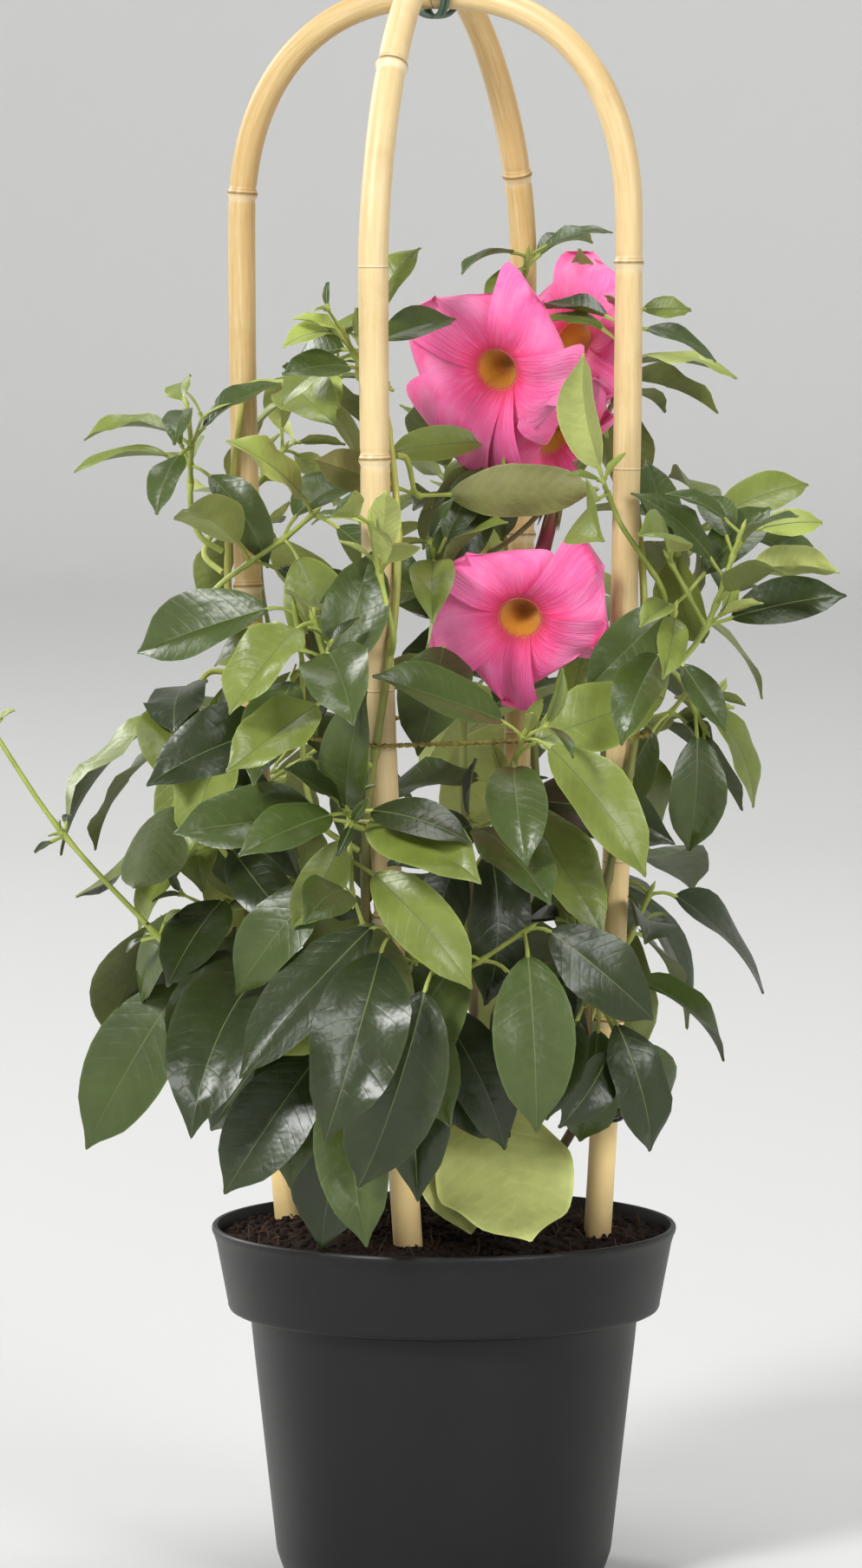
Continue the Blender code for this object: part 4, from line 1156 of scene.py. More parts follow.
# Each petal's length as a share of the bloom's radius, how far it is turned, in degrees, and its width.
PETAL_SHARES = {
    "bloom_upper_left": (
        *((0.9, -14, 1.4), (1.13, -58, 1.4), (0.74, -42, 1.2), (0.88, -50, 1.3), (0.86, -46, 1.3)),
    ),
    "bloom_upper_right": ((1.0, -30, 1), (0.95, -30, 1), (0.8, -34, 1), (1.12, -30, 1), (0.95, -26, 1)),
    "bloom_middle": ((1.0, 0, 1), (1.0, 5, 1), (0.95, 0, 1), (1.05, -4, 1), (1.0, 0, 1)),
    "bloom_lower": ((0.92, 4, 1.05), (0.76, 13, 1), (1.02, 0, 1.25), (0.86, 18, 1.1), (1.02, 22, 1.1)),
}
TUBE_RED = (0.2, 0.03, 0.04)
TUBE_PINK = (0.6, 0.12, 0.24)
TUBE_GREEN = (0.22, 0.2, 0.06)


class Bloom(NamedTuple):
    """A bloom: its throat's place and facing, its size and roll, and where its stalk leaves the stem."""

    centre: tuple
    faces: tuple
    radius: float
    roll: float
    leaves_stem: float
    bearing: float


BLOOMS = {
    "bloom_upper_left": Bloom((18, -23, 443), (-0.41, -0.82, -0.25), 38.0, 10.0, 330.0, -115.0),
    "bloom_upper_right": Bloom((46, 20, 454), (-0.5, -0.65, 0.3), 31.0, 40.0, 376.0, 40.0),
    "bloom_middle": Bloom((43, 2, 417), (0.62, -0.44, -0.57), 28.0, 70.0, 350.0, 78.0),
    "bloom_lower": Bloom((27, -36, 354), (-0.15, -0.92, -0.35), 35.0, 20.0, 345.0, -38.0),
}


def petal_reach(turn):
    """The bloom's outline: five lobes, each drawn out to one side like the blades of a pinwheel."""
    share = (turn * PETALS / TURN) % 1.0
    return 0.72 + 0.28 * math.sin(math.pi * share**1.5) ** 0.7


class Axes(NamedTuple):
    """Where a bloom stands: the middle of its throat, the way it faces, and two ways across."""

    centre: Vector
    axis: Vector
    across: Vector
    upward: Vector

    def at(self, x, y, depth):
        return self.centre + self.across * x + self.upward * y + self.axis * depth


def bloom_axes(bloom):
    axis = Vector(bloom.faces).normalized()
    across = any_normal(axis)
    return Axes(Vector(bloom.centre), axis, across, axis.cross(across))


def bloom_solid(bloom):
    """A funnel with a wall, from the stalk's end out to the petals' margins and back inside."""
    axes = bloom_axes(bloom)
    # Each ring: distance along the axis from the throat's rim, radius, and how much the lobes shape it.
    outside = ((-BLOOM_TUBE_LENGTH, 2.2, 0), (-19.0, 3.0, 0), (-9.0, 8.4, 0), (-2.0, 11.0, 0))
    margin = ((-1.0, bloom.radius, 1.0),)
    inside = ((2.0, 22.0, 0.4), (-1.0, 8.6, 0), (-10.0, 6.0, 0))
    sides = PETALS * PETAL_STEPS
    rings = []
    for depth, radius, lobed in outside + margin + inside:
        ring = []
        for j in range(sides):
            turn = TURN * j / sides + math.radians(bloom.roll)
            reach = radius * (1 - lobed + lobed * petal_reach(TURN * j / sides))
            outward = axes.across * math.cos(turn) + axes.upward * math.sin(turn)
            ring.append(axes.centre + axes.axis * depth + outward * reach)
        rings.append(ring)
    return capped(rings)


def curve_between(start, start_way, end, end_way, count, end_pull=CURVE_PULL):
    """Points along a cubic curve with these end directions."""
    span = (end - start).length
    a, b = start + start_way * span * CURVE_PULL, end - end_way * span * end_pull
    points = []
    for i in range(count):
        t = i / (count - 1)
        u = 1 - t
        points.append(start * u**3 + a * 3 * u * u * t + b * 3 * u * t * t + end * t**3)
    return points


def along(path, share):
    """(point, tangent) at a share of the path's length."""
    lengths = [(path[i + 1] - path[i]).length for i in range(len(path) - 1)]
    target = share * sum(lengths)
    for i, length in enumerate(lengths):
        if target <= length or i == len(lengths) - 1:
            tangent = (path[i + 1] - path[i]).normalized()
            return path[i].lerp(path[i + 1], min(1.0, target / length)), tangent
        target -= length


petal_sheen = {"Sheen_Weight": 0.15, "Sheen_Roughness": 0.4}
petal_finish = Finish("petal", PETAL_PINK, 0.55, Specular_IOR_Level=0.3, **petal_sheen)
reach = petal_finish.reading("reach")
surface = petal_finish.surface()
veins = petal_finish.speckle(surface, 7.0, stretch=(4.0, 0.35, 1.0))
blush = petal_finish.speckle(petal_finish.place(), 55.0)
bands = petal_finish.speckle(surface, 3.0, detail=2.0, stretch=(1.6, 0.5, 1.0))
# From the throat out: each colour's share of 40 mm, with an edge that the veins make ragged.
throat = ((0.03, THROAT_DEEP), (0.09, THROAT_RUST), (0.13, THROAT_ORANGE), (0.17, THROAT_ORANGE))
blade = ((0.205, THROAT_CRIMSON), (0.3, PETAL_PINK), (0.55, PETAL_BRIGHT), (0.95, PETAL_BRIGHT))
ragged = (veins - 0.5).line(3.6, reach)
inner = petal_finish.ramp(ragged * (1 / 40), *throat, *blade)
streaks = veins.share(3.4, -1.6) * reach.fade(8.6, 11.6) * 0.38
streaked = petal_finish.blend(streaks, inner, PETAL_PALE)
outer = reach.fade(12, 26)
softened = petal_finish.blend((bands * blush).share(5.0, -1.0) * outer * 0.5, streaked, PETAL_PALE)
# Painted sheen: lilac patches on the outer petals.
painted_sheen = blush.share(5.0, -2.3) * outer * 0.7
petal_finish.paint(petal_finish.blend(painted_sheen, softened, PETAL_PAINTED_SHEEN))
petal_finish.relief(veins, 0.7, 0.8)

tube_finish = Finish("bloom_tube", TUBE_RED, 0.5, Specular_IOR_Level=0.35)
tube_stops = ((0.22, TUBE_GREEN), (0.27, TUBE_RED), (0.6, TUBE_RED), (1.0, TUBE_PINK))
tube_finish.paint(tube_finish.ramp(tube_finish.reading("reach") * (1 / 10), *tube_stops))
stalk_finish = Finish("bloom_stalk", STEM_OLIVE, 0.5)


def petal_half_width(radius, v, side):
    """Half the petal's width along it; it is fuller on the side that the next petal covers."""
    widens, blunt, rounding = (0.42, 7, 0.55) if side > 0 else (0.78, 3.8, 0.6)
    return radius * (0.2 + widens * v) * max(0.0, 1 - v**blunt) ** rounding


def petal_surface(axes, radius, turn, length, wide, rng):
    """A petal as two sheets that share their margin, with a place and a reach for each point."""
    droop, wave, phase = rng.uniform(-1.5, 4.0), rng.uniform(0.7, 1.9), rng.uniform(0, TURN)
    ruffle, swirl = rng.uniform(0.5, 1.2), rng.uniform(0.25, 0.34) * radius
    points, places, reaches = [], [], []
    for row in range(PETAL_ROWS + 1):
        v = row / PETAL_ROWS
        out = PETAL_FOOT_RADIUS + (length - PETAL_FOOT_RADIUS) * v
        for column in range(PETAL_COLUMNS + 1):
            u = 2 * column / PETAL_COLUMNS - 1
            side = u * wide * petal_half_width(radius, v, u) + swirl * v**2.2
            bent = side / out
            flatness = smooth_step(v * 1.5)
            x = (1 - flatness) * out * math.cos(bent) + flatness * out * (1 - 0.07 * u * u + 0.05 * u * v)
            y = (1 - flatness) * out * math.sin(bent) + flatness * side
            s = min(1.2, (math.hypot(x, y) - PETAL_FOOT_RADIUS) / (radius - PETAL_FOOT_RADIUS))
            # The petal rises and falls back, tilts, waves and ruffles; it droops, and has a crease along it.
            depth = -3.0 + 19.5 * s - 18.0 * s * s
            tilt = (1.2 + 2.4 * v) * u * smooth_step(v * 3)
            depth += tilt + wave * math.sin(2.2 * math.pi * u + phase) * v * v
            ruffles = ruffle * math.sin(9.0 * v + phase) * abs(u) ** 3 * v
            depth += 0.35 * math.sin(9.0 * u + phase) * v + ruffles
            depth -= droop * v**3 + 4.4 * bump(u - 0.1, 0.22) * v * (1 - v)
            c, d = math.cos(turn), math.sin(turn)
            points.append(axes.at(x * c - y * d, x * d + y * c, depth))
            places.append((column / PETAL_COLUMNS + phase, v))
            reaches.append(min(math.hypot(x, y), PETAL_READING))
    row_length = PETAL_COLUMNS + 1
    under = {}
    for row in range(1, PETAL_ROWS):
        for column in range(1, PETAL_COLUMNS):
            i = row * row_length + column
            under[i] = len(points)
            points.append(points[i] - axes.axis * PETAL_THICKNESS)
            places.append(places[i])
            reaches.append(reaches[i])
    faces = []
    for row in range(PETAL_ROWS):
        for column in range(PETAL_COLUMNS):
            a = row * row_length + column
            face = (a, a + row_length, a + row_length + 1, a + 1)
            faces.append(face)
            faces.append(tuple(under.get(i, i) for i in reversed(face)))
    return points, faces, places, reaches


def tube_line(axes, name):
    """The line that the back of a bloom's tube follows: straight on, or bent up to where it hangs from."""
    bend = axes.at(0, 0, -TUBE_BEND_DEPTH)
    end, way = TUBE_HANGS_FROM.get(name, (axes.at(0, 0, -TUBE_END_DEPTH), -axes.axis))
    return curve_between(bend, -axes.axis, end, way.normalized(), 14)


def on_tube(axes, line, x, y, depth):
    """A point of the bloom, carried along with its tube's bend."""
    if depth > -TUBE_BEND_DEPTH:
        return axes.at(x, y, depth)
    middle, back = along(line, (-TUBE_BEND_DEPTH - depth) / (TUBE_END_DEPTH - TUBE_BEND_DEPTH))
    across = (axes.across - back * axes.across.dot(back)).normalized()
    return middle + across * x + across.cross(back) * y


def bloom_funnel(axes, line):
    """The tube and throat as one wall, with the tube's finish outside and the petals' inside."""
    points, faces = turned([*FUNNEL_OUTSIDE, *FUNNEL_INSIDE], FUNNEL_SIDES)
    reaches = [math.hypot(p.x, p.y) for p in points]
    outside, inside = len(FUNNEL_OUTSIDE) - 1, len(FUNNEL_INSIDE) - 2
    finishes = [1] * outside * FUNNEL_SIDES + [0] * inside * FUNNEL_SIDES + [1, 0] * FUNNEL_SIDES
    places = [((math.atan2(p.y, p.x) / TURN) * PETALS, 0.1) for p in points]
    return [on_tube(axes, line, p.x, p.y, p.z) for p in points], faces, finishes, places, reaches


for name, bloom in BLOOMS.items():
    rng = random.Random(len(name) * 31 + int(bloom.radius))
    axes = bloom_axes(bloom)
    climber = CLIMBERS["stem_middle"]
    base = axes.centre - axes.axis * STALK_END
    stem = stem_point(climber, bloom.leaves_stem)
    way = level(math.radians(bloom.bearing))
    start = stem + way * (stem_radius(climber, bloom.leaves_stem) + ROOT_GAP)
    start_way = (way + UP * 0.3).normalized()
    coarse = curve_between(start, start_way, base, axes.axis, 6, STALK_PULL)
    place(name, tube(coarse, [STALK_RADIUS] * len(coarse), 5))
    place(name, bloom_solid(bloom))

    corolla = Shape()
    for number, (length, turned_by, wide) in enumerate(PETAL_SHARES[name]):
        turn = math.radians(bloom.roll + turned_by) + TURN * (number + 0.47) / PETALS
        petal = petal_surface(axes, bloom.radius, turn, bloom.radius * length, wide, rng)
        points, faces, places, reaches = petal
        corolla.add((points, faces), 0, places, reach=reaches)
    line = tube_line(axes, name)
    points, faces, finishes, places, reaches = bloom_funnel(axes, line)
    corolla.add((points, faces), finishes, places, reach=reaches)
    piece = corolla.make(f"{name}_corolla", [petal_finish, tube_finish], 65.0)
    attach(piece, "root")
    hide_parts(name)

    stalk = Shape()
    base, back = along(line, (STALK_END - TUBE_BEND_DEPTH) / (TUBE_END_DEPTH - TUBE_BEND_DEPTH))
    path = curve_between(start, start_way, base, -back, STALK_RINGS, STALK_PULL)
    swell, first, over = STALK_SWELL
    radii = [STALK_RADIUS + swell * smooth_step((i - first) / over) for i in range(STALK_RINGS)]
    stalk.add(tube(path, radii, STALK_SIDES))
    for number in range(PETALS):
        c, s = math.cos(TURN * number / PETALS), math.sin(TURN * number / PETALS)
        sepal = [on_tube(axes, line, out * c, out * s, depth) for depth, out, _ in SEPAL]
        stalk.add(tube(sepal, [radius for _, _, radius in SEPAL], SEPAL_SIDES))
    piece = stalk.make(f"{name}_stalk", [stalk_finish], 65.0)
    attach(piece, "root")
    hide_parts(name)


# The foliage.
# Leafy shoots leave the climbing stems at their joints. Leaves stand in pairs, each pair a right angle round
# from the last. They are smooth and leathery, dark and drooping low down and fresh at the tips.

LEAF_CLEARANCE = 0.8
MASS_STEM_RADIUS = 1.3
TWIG_RADIUS = 1.0
WOOD_SIDES = 4
PETIOLE_RADIUS = 0.8
ROOT_RADIUS = 0.45
LEAF_THICKNESS_SHARE = 0.0125
LEAF_WIDTH_SHARE = 0.47
TURNED_SHARE = 0.08
LEAF_STATIONS = (0.32, 0.74)
TRIES = 7
MASS_STEM_RINGS = 6
TWIG_RINGS = 3
# The pairs along a twig: how far along, how far round, and how small beside the node's own leaves.
TWIG_PAIRS = ((0.5, 0.0, 0.95), (0.96, math.pi / 2, 0.85))
LOWEST_LEAF = POT_HEIGHT - 6
# How a blade narrows: it leans to its base, how blunt it is, where its point starts and how thin that is.
PLAIN_BLADE = (0.85, 0.9, 0.74, 0.26, 0.35)
FINE_BLADE = (0.88, 0.72, 0.78, 0.22, 0.55)
# Each half of a blade has a row part way out, and below it a keel that is this much deeper.
HALF_WAY = 0.52
KEEL = 0.45
RIB_KEEL = 0.4
# Pairs of side veins on a blade, and how far they sweep forward on their way out.
VEIN_PAIRS = 11.0
VEIN_SWEEP = 1.7
# A mass's stem may start these steps of 3 mm up or down its climber, and swing its tip aside this far.
START_STEPS = range(-12, 13)
SWINGS = (0, 6, -6, 12, -12, 18)
# Leaves on the lit side of the plant turn their faces this way as well as up.
LIGHT_SIDE = Vector((0.1, -0.75, 0))
BLADE_ROWS = (0.0, 0.03, 0.075, 0.14, 0.22, 0.31, 0.41, 0.51, 0.61, 0.7, 0.78, 0.85, 0.91, 0.955, 0.985)
# Round ends need more rows on a broad leaf.
BROAD_ROWS = tuple((1 - math.cos(math.pi * k / 28)) / 2 for k in range(28))
BROAD_LEAF = 0.65
MOSTLY_TURNED = 0.4
SMALL_LEAF = 26.0
TOP_TONES = {
    "leaf_deep": ((0.023, 0.037, 0.007), 0.34),
    "leaf_middle": ((0.056, 0.085, 0.015), 0.36),
    "leaf_fresh": ((0.17, 0.215, 0.036), 0.38),
    "leaf_young": ((0.34, 0.41, 0.085), 0.44),
}
UNDER_TONES = {
    "underleaf_pale": ((0.38, 0.42, 0.12), 0.6),
    "underleaf_green": ((0.2, 0.235, 0.06), 0.6),
    "underleaf_bronze": ((0.2, 0.2, 0.062), 0.6),
    "underleaf_deep": ((0.085, 0.11, 0.035), 0.55),
    # The broad leaf's underside: pale, and painted lighter still than the other pale undersides as painted
    # light.
    "underleaf_pale_painted_light": ((0.6, 0.64, 0.21), 0.62),
}
RIB_COLOUR = (0.1, 0.135, 0.04)
TWIG_GREEN = (0.23, 0.28, 0.045)
TWIG_LIME = (0.4, 0.45, 0.1)
FINE_SHOOT_SHARE = 0.5
FINE_CLEARANCE = 0.35
FINE_SEED = 100
FINE_SHOOT_RADII = (0.8, 0.5)
# A twig's radius between joints as a share, what a joint adds to it, and how wide the joint is.
TWIG_JOINT = (0.9, 0.5, 2)
TWIG_SIDES = 7
TIP_SIDES = 6
FINE_SIDES = 5
# Along a leaf's stalk, and at a shoot's growing tip.
STALK_RADII = (0.95, 0.72, 0.68, 0.75, 0.9)
TIP_RADII = (0.8, 0.95, 0.12)


class Leaf(NamedTuple):
    """A leaf: its petiole leaves the twig at root, and its blade bends down along an arc."""

    root: Vector
    heading: Vector
    forward: Vector
    face: Vector
    length: float
    width: float
    petiole: float
    arch: float
    fold: float


def half_width(share, blade):
    """The blade's half width along its length, as a share of its greatest."""
    lean, blunt, point_start, point_length, thinner = blade
    body = math.sin(math.pi * share**lean) ** blunt if 0 < share < 1 else 0.0
    return body * (1 - thinner * smooth_step((share - point_start) / point_length))


def blade_base(leaf):
    return leaf.root + (leaf.heading * 0.55 + leaf.forward * 0.45) * leaf.petiole


def blade_point(leaf, share):
    """(centre, side, normal) on the midrib, as a share of the blade's length."""
    angle = leaf.arch * share
    if abs(leaf.arch) > 0.01:
        along, down = math.sin(angle) / leaf.arch, (1 - math.cos(angle)) / leaf.arch
    else:
        along, down = share, 0.0
    centre = blade_base(leaf) + (leaf.forward * along - leaf.face * down) * leaf.length
    normal = leaf.face * math.cos(angle) + leaf.forward * math.sin(angle)
    return centre, leaf.forward.cross(leaf.face), normal


def leaf_solid(leaf, grow=0.0):
    """The leaf as rings of four points: margin, upper midrib, margin, lower midrib."""
    thick = leaf.length * LEAF_THICKNESS_SHARE / 2 + grow
    rings = []
    side, normal = leaf.forward.cross(leaf.face), leaf.face
    root = leaf.root + leaf.heading * (0.4 + 4.5 * grow)
    for at, radius in ((root, ROOT_RADIUS), (blade_base(leaf), PETIOLE_RADIUS)):
        r = radius + grow
        rings.append([at + side * r, at + normal * r, at - side * r, at - normal * r])
    for share in LEAF_STATIONS:
        centre, side, normal = blade_point(leaf, share)
        half = leaf.width / 2 * half_width(share, PLAIN_BLADE) + grow
        lift = normal * half * math.sin(leaf.fold)
        out = side * half * math.cos(leaf.fold)
        upper, lower = centre + normal * thick, centre - normal * thick
        rings.append([centre + out + lift, upper, centre - out + lift, lower])
    points, faces = skin(rings)
    last = len(points) - 4
    points.append(blade_point(leaf, 1.0)[0] + leaf.forward * grow)
    faces = [tuple(reversed(f)) for f in faces]
    faces += [(last + (j + 1) % 4, last + j, len(points) - 1) for j in range(4)]
    faces.append((0, 1, 2, 3))
    return points, faces


class Mass(NamedTuple):
    """A mass of foliage: one stem off a climber, with twigs and leaves along it."""

    climber: str
    height: float
    tip: tuple
    pairs: int
    twigs: int
    # The length of its leaves, how steeply they droop, and how much smaller the last pair is.
    leaf: float
    droop: float
    young: float
    seed: int
    # A leaf's width as a share of its length, and the share of the leaves that show their undersides.
    breadth: float = LEAF_WIDTH_SHARE
    turned: float = TURNED_SHARE


# Where each mass leaves its climber and where its stem ends. A height of None carries on from the top.
MASSES = {
    "crown_back_left": Mass("stem_back_left", None, (-44, 13, 440), 3, 0, 44, 0.13, 0.45, 9143),
    "crown_front_left": Mass("stem_front_left", None, (-30, -65, 457), 3, 1, 39, 0.2, 0.35, 8597),
    "crown_back_right": Mass("stem_back_right", None, (31, 58, 484), 2, 0, 36, 0.19, 0.2, 7467),
    "crown_front_right": Mass("stem_front_right", None, (63, -26, 464), 3, 0, 41, 0.32, 0.4, 3707),
    "crown_middle": Mass("stem_middle", None, (24, 5, 411), 3, 1, 47, 0.51, 0.3, 5617),
    "upper_left_arm": Mass("stem_back_left", 382, (-94, 21, 428), 3, 1, 43, 0.5, 0.3, 8892),
    "upper_left_front": Mass("stem_back_left", 363, (-49, -17, 392), 3, 0, 56, 0.64, 0.2, 3367),
    "upper_front_left": Mass("stem_front_left", 326, (-46, -102, 358), 3, 0, 50, 0.5, 0.2, 3255, 0.58),
    "upper_right_shoot": Mass("stem_front_right", 333, (107, -31, 386), 5, 1, 48, 0.0, 0.5, 6258),
    "upper_right_back": Mass("stem_front_right", 386, (98, 6, 386), 3, 0, 47, 0.16, 0.2, 3413),
    "upper_right_front": Mass("stem_front_right", 355, (82, -59, 359), 2, 0, 43, 0.63, 0.2, 9516),
    "upper_right_turned": Mass("stem_front_right", 391, (58, -53, 401), 1, 0, 53, 0.08, 0.0, 1734, 0.52, 1.0),
    "upper_left_turned": Mass("stem_front_left", 378, (-26, -92, 392), 2, 0, 35, 0.04, 0.2, 2032, 0.6, 0.5),
    "upper_back_right": Mass("stem_back_right", 415, (61, 54, 433), 3, 1, 53, 0.15, 0.3, 5403),
    "upper_back_left": Mass("stem_back_left", 404, (-60, 79, 412), 3, 1, 45, 0.53, 0.3, 946),
    "upper_back_middle": Mass("stem_back_right", 356, (3, 88, 398), 3, 1, 49, 0.36, 0.2, 3452),
    "upper_middle_front": Mass("stem_middle", 361, (-3, -33, 376), 3, 0, 54, 0.2, 0.2, 3719),
    "middle_left": Mass("stem_back_left", 295, (-96, 1, 317), 3, 2, 63, 0.48, 0.1, 8986),
    "middle_left_low": Mass("stem_back_left", 236, (-96, -19, 293), 3, 1, 51, 0.83, 0.1, 1482),
    "middle_front_left": Mass("stem_front_left", 246, (-33, -111, 291), 4, 1, 54, 0.28, 0.3, 3493),
    "middle_left_front": Mass("stem_front_left", 292, (-53, -71, 360), 3, 0, 56, 0.62, 0.1, 5994),
    "middle_front": Mass("stem_middle", 259, (28, -79, 316), 4, 1, 59, 0.68, 0.1, 6222),
    "middle_right": Mass("stem_front_right", 300, (95, -8, 313), 3, 1, 46, 0.85, 0.3, 5146),
    "middle_right_back": Mass("stem_back_right", 303, (87, 60, 352), 3, 1, 52, 0.53, 0.2, 1944),
    "middle_back": Mass("stem_back_right", 269, (17, 116, 324), 3, 1, 63, 0.41, 0.1, 2163),
    "middle_back_left": Mass("stem_back_left", 283, (-69, 85, 286), 3, 1, 66, 0.75, 0.1, 421),
    "low_left": Mass("stem_back_left", 198, (-100, -18, 243), 3, 1, 79, 0.73, 0.0, 3559),
    "left_runner": Mass("stem_back_left", 188, (-166, -16, 317), 3, 0, 10, 0.01, 0.2, 9037),
    "low_front_left": Mass("stem_front_left", 202, (-62, -67, 228), 3, 1, 68, 1.29, 0.0, 3961),
    "low_middle": Mass("stem_middle", 206, (7, -32, 187), 1, 0, 72, 1.47, 0.0, 9533, 0.72, 1.0),
    "low_front": Mass("stem_front_left", 190, (-2, -116, 240), 3, 1, 76, 1.2, 0.0, 8218),
    "low_front_outer": Mass("stem_middle", 201, (-25, -112, 249), 3, 1, 78, 1.06, 0.0, 6173),
    "low_right": Mass("stem_front_right", 204, (75, -15, 254), 3, 1, 53, 0.73, 0.0, 7055),
    "low_right_front": Mass("stem_front_right", 206, (50, -84, 222), 2, 1, 50, 0.63, 0.0, 5300),
    "low_back_right": Mass("stem_back_right", 209, (60, 91, 249), 3, 0, 68, 0.83, 0.0, 7856),
    "low_back": Mass("stem_middle", 217, (4, 107, 232), 3, 1, 77, 1.15, 0.0, 312),
    "low_back_left": Mass("stem_back_left", 211, (-68, 77, 248), 3, 0, 68, 1.01, 0.0, 3342),
    "upper_middle_turned": Mass("stem_front_left", 378, (-9, -40, 399), 1, 0, 54, 0.0, 0.0, 6427, 0.4, 1.0),
}


def stem_starts(mass):
    """(point, way) pairs where a mass's stem can begin, best first: those that face its tip."""
    climber = CLIMBERS[mass.climber]
    tip = Vector(mass.tip)
    if mass.height is None:
        path = stem_path(climber)
        way = (path[-1] - path[-2]).normalized()
        return [(path[-1] + way * ROOT_GAP, way)]
    starts = []
    for step in START_STEPS:
        height = mass.height + 3 * step
        if not (soil_height(*climber.foot) + 25 < height < climber.top - 12):
            continue
        centre = stem_point(climber, height)
        wanted = Vector((tip.x - centre.x, tip.y - centre.y, 0)).normalized()
        free = wanted
        if climber.cane:
            cane = leg_point(find_cane(climber.cane), height)
            free = Vector((centre.x - cane.x, centre.y - cane.y, 0)).normalized()
        way = (wanted * 0.7 + free).normalized()
        start = centre + way * (stem_radius(climber, height) + ROOT_GAP)
        starts.append((abs(step) * 0.02 - free.dot(wanted), start, (way + UP * 0.3).normalized()))
    starts.sort(key=lambda entry: entry[0])
    return [(start, way) for _, start, way in starts]


def mass_stem(mass):
    """The mass's stem: the first that keeps clear of everything; it may swing its tip a little."""
    for swing in SWINGS:
        for start, way in stem_starts(mass):
            tip = Vector(mass.tip)
            tip += Vector((-tip.y, tip.x, 0)).normalized() * swing
            lean = (tip - start).normalized()
            end_way = (lean + UP * (0.5 - 0.8 * mass.droop)).normalized()
            path = curve_between(start, way, tip, end_way, MASS_STEM_RINGS)
            if is_clear(tube(path, [MASS_STEM_RADIUS + GAP] * MASS_STEM_RINGS, WOOD_SIDES)):
                return path
    raise ValueError("no clear way for a mass's stem")


def square_to(direction, turn):
    """A unit vector square to the direction, turned round it."""
    across = any_normal(direction)
    return across * math.cos(turn) + direction.cross(across) * math.sin(turn)


def stray(rng, spread):
    """A small random step, about as long as the spread."""
    return Vector([rng.gauss(0, spread) for _ in range(3)])


def leaf_at(rng, point, tangent, side, mass, scale, attempt):
    """A leaf on one side of a twig; each further attempt turns it more and makes it a little smaller."""
    heading = (tangent * 0.55 + side * 0.9 + stray(rng, 0.2 + 0.13 * attempt)).normalized()
    droop = mass.droop * rng.uniform(0.6, 1.3)
    forward = (heading - UP * droop).normalized()
    outward = Vector((point.x, point.y, 0)).normalized()
    aside = outward * 0.4 + LIGHT_SIDE * max(0.0, min(1.0, 0.7 - point.y / 90))
    upward = UP
    if rng.random() < mass.turned:
        aside, upward = aside * -1.2, UP * 0.45
    up = upward + aside + stray(rng, 0.2 + 0.1 * attempt)
    face = (up - forward * up.dot(forward)).normalized()
    length = mass.leaf * scale * rng.uniform(0.88, 1.1) * (1 - 0.05 * attempt)
    width = length * mass.breadth * rng.uniform(0.86, 1.12)
    petiole = 5 + 0.11 * length
    arch, fold = rng.uniform(0.25, 0.9), rng.uniform(0.08, 0.35)
    return Leaf(point, heading, forward, face, length, width, petiole, arch, fold)


def try_leaf(rng, name, mass, point, tangent, side, scale, grown):
    """Adds a leaf to the mass if one of its attempts keeps clear of all that is placed."""
    for attempt in range(TRIES):
        leaf = leaf_at(rng, point, tangent, side, mass, scale, attempt)
        test = leaf_solid(leaf, grow=LEAF_CLEARANCE)
        if min(p.z for p in test[0]) > LOWEST_LEAF and is_clear(test, exempt=f"{name}_wood"):
            place(name, leaf_solid(leaf))
            grown.append(leaf)
            return


def grow_mass(name, mass):
    """(wood, leaves, joints) of a mass: opposite pairs, each turned a right angle from the last."""
    rng = random.Random(mass.seed)
    path = mass_stem(mass)
    wood = [(path, MASS_STEM_RADIUS, TWIG_RADIUS)]
    place(f"{name}_wood", tube(path, [MASS_STEM_RADIUS] * MASS_STEM_RINGS, WOOD_SIDES))
    leaves, joints = [], []
    first_turn = rng.uniform(0, TURN)
    twig_nodes = [1 + (k * max(1, mass.pairs - 1)) // max(1, mass.twigs) for k in range(mass.twigs)]
    for node in range(1, mass.pairs + 1):
        share = 0.3 + 0.7 * node / mass.pairs
        point, tangent = along(path, min(0.985, share))
        side = square_to(tangent, first_turn + node * math.pi / 2)
        joints.append((point, tangent, side))
        scale = 1 - mass.young * (node / mass.pairs) ** 2
        if node in twig_nodes:
            leaves += grow_twig(rng, name, mass, point, tangent, side, scale, wood, joints)
            try_leaf(rng, name, mass, point, tangent, -side, scale, leaves)
        else:
            for way in (side, -side):
                try_leaf(rng, name, mass, point, tangent, way, scale, leaves)
    return wood, leaves, joints


